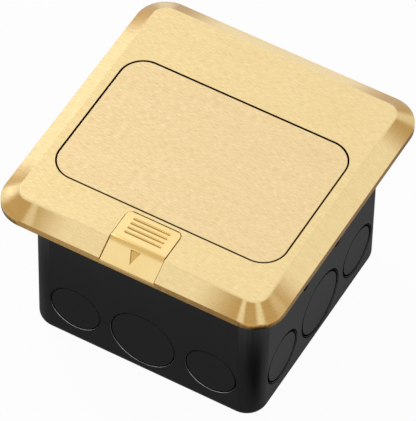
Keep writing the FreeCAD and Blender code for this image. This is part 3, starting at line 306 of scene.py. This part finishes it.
# Painted shade: the ring round each knockout turns matt black and dull.
colour = add(tree, "Mix", {0: painted_ring_shade, 6: enamel, 7: linear("#020202")}, data_type="RGBA")
colour = add(tree, "Mix", {0: on_rim, 6: colour, 7: linear("#B9BBBE")}, data_type="RGBA")
off_rim = add(tree, "Math", (1.0, on_rim), operation="SUBTRACT")
painted_shade_dullness = add(tree, "Math", (painted_ring_shade, off_rim), operation="MULTIPLY")
feed(tree, skin, {
    "Base Color": colour,
    "Metallic": on_rim,
    "Roughness": add(tree, "Math", (painted_shade_dullness, 0.5, enamel_gloss), operation="MULTIPLY_ADD"),
    "Specular IOR Level": add(tree, "Math", (painted_shade_dullness, -0.5, 0.5), operation="MULTIPLY_ADD"),
})
dress(["back_box", "knockouts_small", "knockouts_large"], black_enamel, 0.12)
dress(["cover_lugs"], black_enamel, 0.2)


# Cover gasket, lid seal and stop pads. Moulded black rubber, pressed between the cover and the
# floor, glued on the ledge under the lid, and pushed onto the carriage's stop lips.

# Moulded rubber: dull black with a fine bloom, and hardly any gloss.
black_rubber = grained("moulded_black_rubber", "#1B1B1B", "#131313", 0.4, 0.68, spread=0.06)
dress(["cover_gasket", "lid_seal", "stop_pads"], black_rubber, 0.0)


# Cover frame. Die-cast brass, rubbed along the width with fine abrasive and lacquered clear.
# Its sloped border is polished round the corners, shown as painted shade and painted sheen. Four
# screws pull it down onto the lugs.

HAIR_MM, HAIR_DRAWN = 0.36, 7.0
BAND_MM, BAND_DRAWN = 2.6, 9.0
STREAK_RELIEF = 0.25
STREAK_MM = 0.01


def rubbed_brass(name, light, dark):
    """Brass with fine streaks along X: material, tree, object place, streaks and colour."""
    material, tree = new_material(name)
    place = add(tree, "TexCoord").outputs["Object"]
    drawn = add(tree, "Mapping", {"Vector": place, "Scale": (1 / HAIR_DRAWN, 1.0, 0.0)})
    hair = add(tree, "TexNoise", {"Vector": drawn, "Scale": 1 / (HAIR_MM * MM),
                                  "Detail": 3.0, "Roughness": 0.6})
    drawn = add(tree, "Mapping", {"Vector": place, "Scale": (1 / BAND_DRAWN, 1.0, 0.0)})
    band = add(tree, "TexNoise", {"Vector": drawn, "Scale": 1 / (BAND_MM * MM),
                                  "Detail": 2.0})
    tone = add(tree, "Math", (band, 0.2), operation="MULTIPLY")
    tone = add(tree, "Math", (hair, 0.8, tone), operation="MULTIPLY_ADD")
    tones = add(tree, "ValToRGB", (tone,))
    for stop, at, hue in zip(tones.color_ramp.elements, (0.34, 0.62), (dark, light)):
        stop.position = at
        stop.color = linear(hue)
    return material, tree, place, hair, tones


def rubbed_metal(tree, colour, hair):
    """Metal whose gloss and fine height follow the streaks."""
    gloss = add(tree, "MapRange", (hair, 0.3, 0.7, 0.24, 0.36))
    bump = add(tree, "Bump", {"Height": hair, "Strength": STREAK_RELIEF,
                              "Distance": STREAK_MM * MM})
    metal = add(tree, "BsdfPrincipled", {"Base Color": colour, "Metallic": 1.0,
                                         "Roughness": gloss, "Normal": bump})
    add(tree, "OutputMaterial", {"Surface": metal})


# Rubbed and lacquered brass: pale gold with hair-fine streaks along the width.
cover_brass, tree, place, hair, colour = rubbed_brass(
    "rubbed_lacquered_brass", "#F1DAA4", "#E5C98F")
split = add(tree, "SeparateXYZ", (place,)).outputs
across = add(tree, "Math", (split["X"],), operation="ABSOLUTE")
along = add(tree, "Math", (split["Y"],), operation="ABSOLUTE")

# The border is painted darker towards its corners as painted shade, with pale painted sheen
# marks fanned round each, broken up by fine polishing rings.
CORNER_X = (0.026, 0.047)
CORNER_Y = (0.034, 0.050)
BORDER_Z = (0.0812, 0.0817)
FAN_X = 0.044
FAN_Y = 0.046
# Each painted sheen mark: sides of the corner in X and Y, angle from the X side in degrees, half
# width and strength.
PAINTED_SHEEN_MARKS = ((1, -1, 74.7, 7, 0.7), (1, -1, 47.9, 8, 0.7), (1, -1, 15, 14, 0.3),
              (-1, -1, 31, 22, 0.85), (-1, -1, 92, 12, 0.5), (1, 1, 34, 15, 0.6),
              (-1, 1, 55, 22, 0.6))
SHEEN_MARK_CORE = 0.2
POLISH_RING_MM = 0.5
POLISH_RINGS = 0.24

near_corner = add(tree, "Math", [
    add(tree, "MapRange", (reach, *fade, 0.0, 1.0), interpolation_type="SMOOTHSTEP")
    for reach, fade in ((across, CORNER_X), (along, CORNER_Y))], operation="MINIMUM")
fan_x = add(tree, "Math", (across, FAN_X), operation="SUBTRACT")
fan_y = add(tree, "Math", (along, FAN_Y), operation="SUBTRACT")
fan = add(tree, "Math", (fan_y, fan_x), operation="ARCTAN2")
painted_sheen = 0.0
for side_x, side_y, degrees, half_width, strength in PAINTED_SHEEN_MARKS:
    half_width = math.radians(half_width)
    away = add(tree, "Math", (fan, math.radians(degrees)), operation="SUBTRACT")
    away = add(tree, "Math", (away,), operation="ABSOLUTE")
    painted_sheen_mark = add(tree, "MapRange", (away, half_width * SHEEN_MARK_CORE, half_width, strength, 0.0),
               interpolation_type="SMOOTHSTEP")
    for axis, side in (("X", side_x), ("Y", side_y)):
        here = add(tree, "Math", (split[axis], side), operation="MULTIPLY")
        here = add(tree, "Math", (here, 0.0), operation="GREATER_THAN")
        painted_sheen_mark = add(tree, "Math", (painted_sheen_mark, here), operation="MULTIPLY")
    painted_sheen = add(tree, "Math", (painted_sheen, painted_sheen_mark), operation="MAXIMUM")
rings = add(tree, "TexNoise", {"W": radius(tree, fan_x, fan_y), "Detail": 2.0,
                               "Scale": 1 / (POLISH_RING_MM * MM)}, noise_dimensions="1D")
painted_sheen = add(tree, "Math", (rings, POLISH_RINGS, painted_sheen), operation="MULTIPLY_ADD")
border = add(tree, "MapRange", (split["Z"], *BORDER_Z, 1.0, 0.0),
             interpolation_type="SMOOTHSTEP")
# Painted shade towards the corners, lifted where the painted sheen falls.
painted_corner_shade = add(tree, "Math", (1.0, painted_sheen), operation="SUBTRACT")
painted_corner_shade = add(tree, "Math", (near_corner, painted_corner_shade), operation="MULTIPLY")
painted_corner_shade = add(tree, "Math", (painted_corner_shade, border), operation="MULTIPLY")
colour = add(tree, "Mix", {0: painted_corner_shade, 6: colour, 7: linear("#B48A48")}, data_type="RGBA")

# The upright edge of the flange is painted a deeper, warmer gold, as a painted reflection of the
# dark floor it faces.
EDGE_Z = (0.07695, 0.07712)
EDGE_DEEPER = 0.85
edge = add(tree, "MapRange", (split["Z"], *EDGE_Z, EDGE_DEEPER, 0.0),
           interpolation_type="SMOOTHSTEP")
colour = add(tree, "Mix", {0: edge, 6: colour, 7: linear("#D9A860")}, data_type="RGBA")

# Inside the lid's recess the walls are painted dark from just below the face, as painted shade
# in the gap round the lid.
RECESS_MIDDLE_Y = -0.0053
RECESS_HALF_X = 0.0505
RECESS_HALF_Y = 0.0343
GAP_SHADE_TOP_Z = 0.08175
painted_gap_shade = add(tree, "Math", (split["Y"], -RECESS_MIDDLE_Y), operation="ADD")
painted_gap_shade = add(tree, "Math", (painted_gap_shade,), operation="ABSOLUTE")
painted_gap_shade = add(tree, "Math", (painted_gap_shade, RECESS_HALF_Y), operation="LESS_THAN")
for reach, limit in ((across, RECESS_HALF_X), (split["Z"], GAP_SHADE_TOP_Z)):
    inside = add(tree, "Math", (reach, limit), operation="LESS_THAN")
    painted_gap_shade = add(tree, "Math", (painted_gap_shade, inside), operation="MULTIPLY")
colour = add(tree, "Mix", {0: painted_gap_shade, 6: colour, 7: linear("#33281A")}, data_type="RGBA")
rubbed_metal(tree, colour, hair)
dress(["cover_frame"], cover_brass, 0.22)


# Lid. Brass plate, rubbed the same way as the cover, with a bright chamfer along its rim and
# sides painted dark as painted shade in the gap round it. Its four bosses take the screws of the
# carriage.

# Rubbed brass plate: as the cover, a touch pinker.
LID_SIDES_Z = (0.08184, 0.08190)
lid_brass, tree, place, hair, colour = rubbed_brass("rubbed_brass_plate", "#F0D8A8", "#E2C48E")
split = add(tree, "SeparateXYZ", (place,)).outputs
# Painted shade: the plate's sides are dark, as in the gap round the lid.
sides = add(tree, "MapRange", (split["Z"], *LID_SIDES_Z, 1.0, 0.0),
            interpolation_type="SMOOTHSTEP")
colour = add(tree, "Mix", {0: sides, 6: colour, 7: linear("#33281A")}, data_type="RGBA")
rubbed_metal(tree, colour, hair)
dress(["lid_plate"], lid_brass, 0.12)


# Thumb slide. Cast brass, bead-blasted to a satin face and lacquered. A screw from below joins
# it to the latch bolt.

# Satin casting: warmer and smoother than the rubbed brass, with no direction in its grain.
# Painted shade darkens its grooves, the hollow and the sides of the sunk arrow.
SLIDE_REAR_Y = -0.0405
SLIDE_STEP_Y = -0.0551
slide_brass = grained("satin_cast_brass", "#F6DCA0", "#F0D290", 0.35, 0.34, metallic=1.0,
                      bump_mm=0.006)
tree = slide_brass.node_tree
skin = next(node for node in tree.nodes if node.type == "BSDF_PRINCIPLED")
place = add(tree, "TexCoord").outputs["Object"]
split = add(tree, "SeparateXYZ", (place,)).outputs
across = add(tree, "Math", (split["X"],), operation="ABSOLUTE")
colour = skin.inputs["Base Color"].links[0].from_socket

# Grip grooves: four, 2.3 mm apart, darkened with painted shade.
GROOVE_FIRST = 0.0029
GROOVE_PITCH = 0.0023
GROOVE_HALF_W = (0.00022, 0.00040)
GROOVE_HALF_LENGTH = (0.0077, 0.0081)
GROOVE_ROWS = (-0.0005, 0.0074)
step = add(tree, "Math", (SLIDE_REAR_Y - GROOVE_FIRST, split["Y"]), operation="SUBTRACT")
nearest = add(tree, "Math", (step, GROOVE_PITCH), operation="DIVIDE")
nearest = add(tree, "Math", (nearest,), operation="ROUND")
nearest = add(tree, "Math", (nearest, GROOVE_PITCH), operation="MULTIPLY")
away = add(tree, "Math", (step, nearest), operation="SUBTRACT")
away = add(tree, "Math", (away,), operation="ABSOLUTE")
painted_groove_shade = add(tree, "MapRange", (away, *GROOVE_HALF_W, 1.0, 0.0),
             interpolation_type="SMOOTHSTEP")
ends = add(tree, "MapRange", (across, *GROOVE_HALF_LENGTH, 1.0, 0.0),
           interpolation_type="SMOOTHSTEP")
first = add(tree, "Math", (step, GROOVE_ROWS[0]), operation="GREATER_THAN")
last = add(tree, "Math", (step, GROOVE_ROWS[1]), operation="LESS_THAN")
for limit in (ends, first, last):
    painted_groove_shade = add(tree, "Math", (painted_groove_shade, limit), operation="MULTIPLY")
colour = add(tree, "Mix", {0: painted_groove_shade, 6: colour, 7: linear("#A88344")}, data_type="RGBA")

# Painted shade in the hollow where the pad rolls over to the apron.
HOLLOW_BEHIND_STEP = 0.0006
HOLLOW_REACH = (0.0002, 0.0017)
HOLLOW_DEEPER = 0.7
away = add(tree, "Math", (split["Y"], SLIDE_STEP_Y + HOLLOW_BEHIND_STEP),
           operation="SUBTRACT")
away = add(tree, "Math", (away,), operation="ABSOLUTE")
painted_hollow_shade = add(tree, "MapRange", (away, *HOLLOW_REACH, HOLLOW_DEEPER, 0.0),
             interpolation_type="SMOOTHSTEP")
colour = add(tree, "Mix", {0: painted_hollow_shade, 6: colour, 7: linear("#CFA65A")}, data_type="RGBA")

# Sunk arrow, its point towards the edge. Its floor is darker, with painted shade along its
# sides.
ARROW_FROM_STEP = 0.0006
ARROW_LENGTH = 0.0046
ARROW_HALF_W = 0.0021
ARROW_SIDE = (-0.00005, 0.00005)
ARROW_RIM = (0.0002, 0.0005)
RIM_DEEPER = 0.6
run = add(tree, "Math", (SLIDE_STEP_Y - ARROW_FROM_STEP, split["Y"]), operation="SUBTRACT")
half = add(tree, "Math", (run, -ARROW_HALF_W / ARROW_LENGTH, ARROW_HALF_W),
           operation="MULTIPLY_ADD")
inside = add(tree, "Math", (half, across), operation="SUBTRACT")
arrow = add(tree, "MapRange", (inside, *ARROW_SIDE, 0.0, 1.0), interpolation_type="SMOOTHSTEP")
begun = add(tree, "Math", (run, 0.0), operation="GREATER_THAN")
arrow = add(tree, "Math", (arrow, begun), operation="MULTIPLY")
colour = add(tree, "Mix", {0: arrow, 6: colour, 7: linear("#D3AC66")}, data_type="RGBA")
painted_arrow_shade = add(tree, "MapRange", (inside, *ARROW_RIM, RIM_DEEPER, 0.0),
          interpolation_type="SMOOTHSTEP")
painted_arrow_shade = add(tree, "Math", (arrow, painted_arrow_shade), operation="MULTIPLY")
colour = add(tree, "Mix", {0: painted_arrow_shade, 6: colour, 7: linear("#9C7636")}, data_type="RGBA")
feed(tree, skin, {"Base Color": colour})
dress(["thumb_slide"], slide_brass, 0.25)


# Screws. Zinc-plated steel with a cross recess and a rolled thread, with pan heads, or with
# countersunk ones in the face plate. A green one takes the earth wire on the box floor.

SMOOTH_ANGLE = math.radians(35)
# Rounding of the head's edge, as a part of its height.
PAN_DOME, SUNK_DOME = 0.42, 0.1
# The two blades that cut the recess: length and width as parts of the head's radius, height
# as a part of its height, and how far they narrow towards their lower end.
BLADE_LENGTH, BLADE_WIDTH, BLADE_HEIGHT, BLADE_TAPER = 1.15, 0.26, 1.1, 0.4
# Root and pitch of the thread as parts of the shank's radius, and its height of the pitch.
THREAD_ROOT, THREAD_PITCH, THREAD_HEIGHT = 0.86, 0.34, 0.44
WIRE_STEPS = 20
# Turn from one screw's recess to the next one's, in radians.
RECESS_TURN = 0.7


def apply_all(piece):
    """Puts the piece's place, turn and size into its mesh."""
    deselect()
    piece.select_set(True)
    bpy.context.view_layer.objects.active = piece
    bpy.ops.object.transform_apply(location=True, rotation=True, scale=True)


def finish(piece, name, material):
    """Names a modelled piece, gives it its material and smooths its round faces."""
    piece.name = name
    piece.data.materials.clear()
    piece.data.materials.append(material)
    deselect()
    piece.select_set(True)
    bpy.context.view_layer.objects.active = piece
    bpy.ops.object.shade_smooth_by_angle(angle=SMOOTH_ANGLE)


def wound_wire(radius, wire_r, length, turns, sides=8):
    """Wire wound along +Z from the origin, with closed ends."""
    deselect()
    bpy.ops.mesh.primitive_circle_add(vertices=sides, radius=wire_r, fill_type="NOTHING",
                                      location=(radius, 0, 0), rotation=(math.pi / 2, 0, 0))
    wire = bpy.context.object
    apply_all(wire)
    wind = wire.modifiers.new("wind", "SCREW")
    wind.axis = "Z"
    wind.angle = 2 * math.pi * turns
    wind.screw_offset = length
    wind.iterations = 1
    wind.steps = round(WIRE_STEPS * turns)
    wind.render_steps = wind.steps
    bpy.ops.object.modifier_apply(modifier="wind")
    bpy.ops.object.mode_set(mode="EDIT")
    bpy.ops.mesh.select_all(action="SELECT")
    bpy.ops.mesh.fill_holes(sides=0)
    bpy.ops.mesh.select_all(action="SELECT")
    bpy.ops.mesh.normals_make_consistent(inside=False)
    bpy.ops.object.mode_set(mode="OBJECT")
    return wire


def cross_screw(shank_r, head_r, head_h, length, sunk):
    """Cross-recessed screw along -Z, with the underside of its head at the origin."""
    deselect()
    bpy.ops.mesh.primitive_cone_add(vertices=40, radius1=shank_r if sunk else head_r,
                                    radius2=head_r, depth=head_h, location=(0, 0, head_h / 2))
    head = bpy.context.object
    apply_all(head)
    dome = head.modifiers.new("dome", "BEVEL")
    dome.width = head_h * (SUNK_DOME if sunk else PAN_DOME)
    dome.segments = 5
    dome.limit_method = "ANGLE"
    bpy.ops.object.modifier_apply(modifier="dome")
    for quarter in (0, 1):
        deselect()
        bpy.ops.mesh.primitive_cube_add(size=1.0, location=(0, 0, head_h),
                                        rotation=(0, 0, quarter * math.pi / 2),
                                        scale=(head_r * BLADE_LENGTH, head_r * BLADE_WIDTH,
                                               head_h * BLADE_HEIGHT))
        blade = bpy.context.object
        bpy.ops.object.mode_set(mode="EDIT")
        bpy.ops.mesh.select_mode(type="VERT")
        bpy.ops.mesh.select_all(action="DESELECT")
        bpy.ops.object.mode_set(mode="OBJECT")
        for vertex in blade.data.vertices:
            vertex.select = vertex.co.z < 0
        bpy.ops.object.mode_set(mode="EDIT")
        bpy.ops.transform.resize(value=(BLADE_TAPER, BLADE_TAPER, 1.0))
        bpy.ops.object.mode_set(mode="OBJECT")
        apply_all(blade)
        deselect()
        head.select_set(True)
        bpy.context.view_layer.objects.active = head
        cut = head.modifiers.new("cut", "BOOLEAN")
        cut.operation = "DIFFERENCE"
        cut.object = blade
        cut.solver = "EXACT"
        bpy.ops.object.modifier_apply(modifier="cut")
        bpy.data.objects.remove(blade)
    deselect()
    bpy.ops.mesh.primitive_cylinder_add(vertices=24, radius=shank_r * THREAD_ROOT,
                                        depth=length, location=(0, 0, -length / 2))
    shank = bpy.context.object
    apply_all(shank)
    pitch = shank_r * THREAD_PITCH
    turns = max(2, int((length - pitch) / pitch))
    thread = wound_wire(shank_r * THREAD_ROOT, pitch * THREAD_HEIGHT, turns * pitch, turns,
                        sides=3)
    bpy.ops.transform.translate(value=(0, 0, -length + pitch * 0.5))
    apply_all(thread)
    for part in (head, shank, thread):
        part.select_set(True)
    bpy.context.view_layer.objects.active = head
    bpy.ops.object.join()
    return head


def solids_of(node):
    """Points of each loose solid of a CAD piece."""
    mesh = nodes[node].data
    owner = list(range(len(mesh.vertices)))

    def first(i):
        while owner[i] != i:
            owner[i] = owner[owner[i]]
            i = owner[i]
        return i

    same_place = {}
    for vertex in mesh.vertices:
        key = tuple(round(c, 6) for c in vertex.co)
        owner[first(vertex.index)] = first(same_place.setdefault(key, vertex.index))
    for polygon in mesh.polygons:
        for index in polygon.vertices[1:]:
            owner[first(index)] = first(polygon.vertices[0])
    groups = {}
    for vertex in mesh.vertices:
        groups.setdefault(first(vertex.index), []).append(vertex.co)
    return list(groups.values())


def span(points, axis):
    """Lowest and highest reach of some points along an axis."""
    reach = [point.dot(axis) for point in points]
    return min(reach), max(reach)


def seat_screws(node, out, sizes, material, body, sunk=False):
    """Puts a modelled screw in the place of each CAD screw; out points out of its head."""
    shank_r, head_r, head_h = sizes
    out = Vector(out)
    side = out.orthogonal().normalized()
    model = None
    for number, points in enumerate(solids_of(node), 1):
        low, high = span(points, out)
        if model is None:
            model = cross_screw(shank_r, head_r, head_h, high - low - head_h, sunk)
        seat = out * (high - head_h)
        for axis in (side, out.cross(side)):
            seat += axis * (sum(span(points, axis)) / 2)
        screw = bpy.data.objects.new("screw", model.data.copy())
        bpy.context.scene.collection.objects.link(screw)
        screw.data.transform(Matrix.Translation(seat)
                             @ out.to_track_quat("Z", "Y").to_matrix().to_4x4()
                             @ Matrix.Rotation(RECESS_TURN * number, 4, "Z"))
        finish(screw, "%s_%d" % (node, number), material)
        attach(screw, body)
        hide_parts(node)
    bpy.data.objects.remove(model)


# Bright zinc: bluish white, slightly cloudy. Dyed zinc: the same in green.
zinc_plate = grained("bright_zinc_plate", "#CDD0D4", "#AFB3B9", 0.6, 0.3, metallic=1.0)
green_plate = grained("green_dyed_zinc_plate", "#2E8B4B", "#217A3D", 0.5, 0.36, metallic=0.7)
# Radius of the shank, and radius and height of the head.
M3_SCREW = (0.0014, 0.0027, 0.0019)
LID_SCREW = (0.0014, 0.0036, 0.0016)
DAMPER_SCREW = (0.00097, 0.0019, 0.0013)
GROUND_SCREW = (0.0019, 0.004, 0.0026)
DOWN = (0, 0, -1)
seat_screws("keeper_screws", DOWN, M3_SCREW, zinc_plate, "frame")
seat_screws("chassis_screws", DOWN, M3_SCREW, zinc_plate, "frame")
seat_screws("lid_screws", DOWN, LID_SCREW, zinc_plate, "carriage")
seat_screws("damper_screws", (-1, 0, 0), DAMPER_SCREW, zinc_plate, "frame")
seat_screws("box_ground_screw", (0, 0, 1), GROUND_SCREW, green_plate, "frame")


# Latch. A zinc-plated bolt slides on a keeper plate under the cover. Two compression springs
# of drawn steel wire push it, and the thumb slide above it, back in.

# Drawn spring wire: grey steel with a slight sheen along it.
spring_steel = grained("drawn_spring_steel", "#A8ABB0", "#8A8D93", 0.3, 0.28, metallic=1.0)
dress(["latch_bolt", "latch_keeper", "latch_screw", "catch_plate"], zinc_plate, 0.12)
LATCH_WIRE_R = 0.00022
LATCH_TURNS = 7
for number, points in enumerate(solids_of("latch_springs"), 1):
    x0, x1 = span(points, Vector((1, 0, 0)))
    y0, y1 = span(points, Vector((0, 1, 0)))
    height = sum(span(points, Vector((0, 0, 1)))) / 2
    fixed_end = Vector(((x0 + x1) / 2, y0, height))
    spring = wound_wire((x1 - x0) / 2 - LATCH_WIRE_R, LATCH_WIRE_R,
                        y1 - y0 - 2 * LATCH_WIRE_R, LATCH_TURNS)
    spring.data.transform(Matrix.Translation(fixed_end + Vector((0, LATCH_WIRE_R, 0)))
                          @ Matrix.Rotation(-math.pi / 2, 4, "X"))
    finish(spring, "latch_spring_%d" % number, spring_steel)
    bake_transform(spring)
    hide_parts("latch_springs")


# Hinge. A moulded nylon chassis hangs under the cover and carries the pins, held by spring
# clips. A torsion spring on each pin lifts the carriage.

# Moulded nylon: dark charcoal with a fine even grain.
black_nylon = grained("moulded_black_nylon", "#29292C", "#202023", 0.5, 0.45)
dress(["hinge_chassis", "carriage", "face_plate", "damper_housing"], black_nylon, 0.2)
dress(["hinge_pins", "hinge_clips"], spring_steel, 0.0)

# Each spring: a coil on the pin, a front leg under the carriage deck and a rear leg down to
# the chassis bar.
COIL_R = 0.0017
COIL_WIRE_R = 0.0004
COIL_X = (0.0284, 0.0336)
COIL_TURNS = 6
PIN = Vector((0, 0.0169, 0.0774))
DECK_LEG_END = Vector((COIL_X[0], 0.0079, 0.07705))
BAR_LEG_END = Vector((COIL_X[1], 0.0309, 0.0523))
to_bar = math.hypot(BAR_LEG_END.y - PIN.y, BAR_LEG_END.z - PIN.z)
leg_angle = (math.atan2(BAR_LEG_END.z - PIN.z, BAR_LEG_END.y - PIN.y)
             + math.asin(COIL_R / to_bar))
deck_leg = (Vector((COIL_X[0], PIN.y, PIN.z - COIL_R)), DECK_LEG_END)
bar_leg = (Vector((COIL_X[1], PIN.y + COIL_R * math.sin(leg_angle),
                   PIN.z - COIL_R * math.cos(leg_angle))), BAR_LEG_END)
for number, side in ((1, 1), (2, -1)):
    coil = wound_wire(COIL_R, COIL_WIRE_R, COIL_X[1] - COIL_X[0],
                      COIL_TURNS + leg_angle / (2 * math.pi), sides=10)
    coil.data.transform(Matrix.Translation((COIL_X[0], PIN.y, PIN.z))
                        @ Matrix(((0, 0, 1), (0, 1, 0), (-1, 0, 0))).to_4x4())
    deselect()
    for start, end in (deck_leg, bar_leg):
        turn = (end - start).to_track_quat("Z", "Y").to_euler()
        bpy.ops.mesh.primitive_cylinder_add(vertices=10, radius=COIL_WIRE_R, rotation=turn,
                                            depth=(end - start).length,
                                            location=(start + end) / 2)
        leg = bpy.context.object
        apply_all(leg)
        leg.select_set(True)
        coil.select_set(True)
        bpy.context.view_layer.objects.active = coil
        bpy.ops.object.join()
    if side < 0:
        coil.data.transform(Matrix.Scale(-1, 4, (1, 0, 0)))
        coil.data.flip_normals()
    finish(coil, "torsion_spring_%d" % number, spring_steel)
    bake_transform(coil)
    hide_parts("torsion_springs")


# Damper. The toothed quadrant on the carriage drives a pinion on a small brake drum, so that
# the lid rises slowly. Both gears are moulded in white acetal.

# Moulded acetal: milky white and slightly waxy.
white_acetal = grained("moulded_white_acetal", "#EBE9E0", "#E1DFD5", 0.6, 0.38)
dress(["damper_quadrant", "damper_pinion"], white_acetal, 0.08)
dress(["quadrant_screws", "cover_screws"], zinc_plate, 0.1)


# Socket. A duplex outlet on a steel strap, screwed behind the face plate: an ivory face, a grey
# body, and contacts of stamped brass with their terminal screws.

# Moulded urea: ivory and glossy. Moulded phenolic: grey and dull.
ivory_urea = grained("moulded_ivory_urea", "#F1EBDC", "#E9E2D1", 0.8, 0.24)
grey_phenolic = grained("moulded_grey_phenolic", "#54575C", "#474A4F", 0.6, 0.5)
# Stamped brass and nickel plate, tumbled to an even shine.
contact_brass = grained("tumbled_contact_brass", "#DDB86E", "#C8A159", 0.5, 0.3, metallic=1.0)
nickel_plate = grained("tumbled_nickel_plate", "#D2CFC8", "#BBB8B1", 0.5, 0.26, metallic=1.0)
dress(["receptacle_face"], ivory_urea, 0.2)
dress(["receptacle_body"], grey_phenolic, 0.2)
dress(["receptacle_strap"], zinc_plate, 0.1)
dress(["line_contact", "neutral_contact", "ground_contacts"], contact_brass, 0.08)
FACE_LEAN = math.radians(30.75)
FACE_OUT = Vector((0, -math.cos(FACE_LEAN), -math.sin(FACE_LEAN)))
FACE_UP = Vector((0, -math.sin(FACE_LEAN), math.cos(FACE_LEAN)))
FACE_SCREW = (0.00116, 0.0020, 0.0008)
STRAP_SCREW = (0.00116, 0.0021, 0.0015)
TERMINAL = (0.00147, 0.0033, 0.0019)
seat_screws("face_plate_screws", FACE_OUT, FACE_SCREW, zinc_plate, "carriage",
            sunk=True)
seat_screws("strap_screws", -FACE_OUT, STRAP_SCREW, zinc_plate, "carriage")
seat_screws("line_screws", FACE_UP, TERMINAL, contact_brass, "carriage")
seat_screws("neutral_screws", -FACE_UP, TERMINAL, nickel_plate, "carriage")
seat_screws("ground_terminal", (1, 0, 0), TERMINAL, green_plate, "carriage")
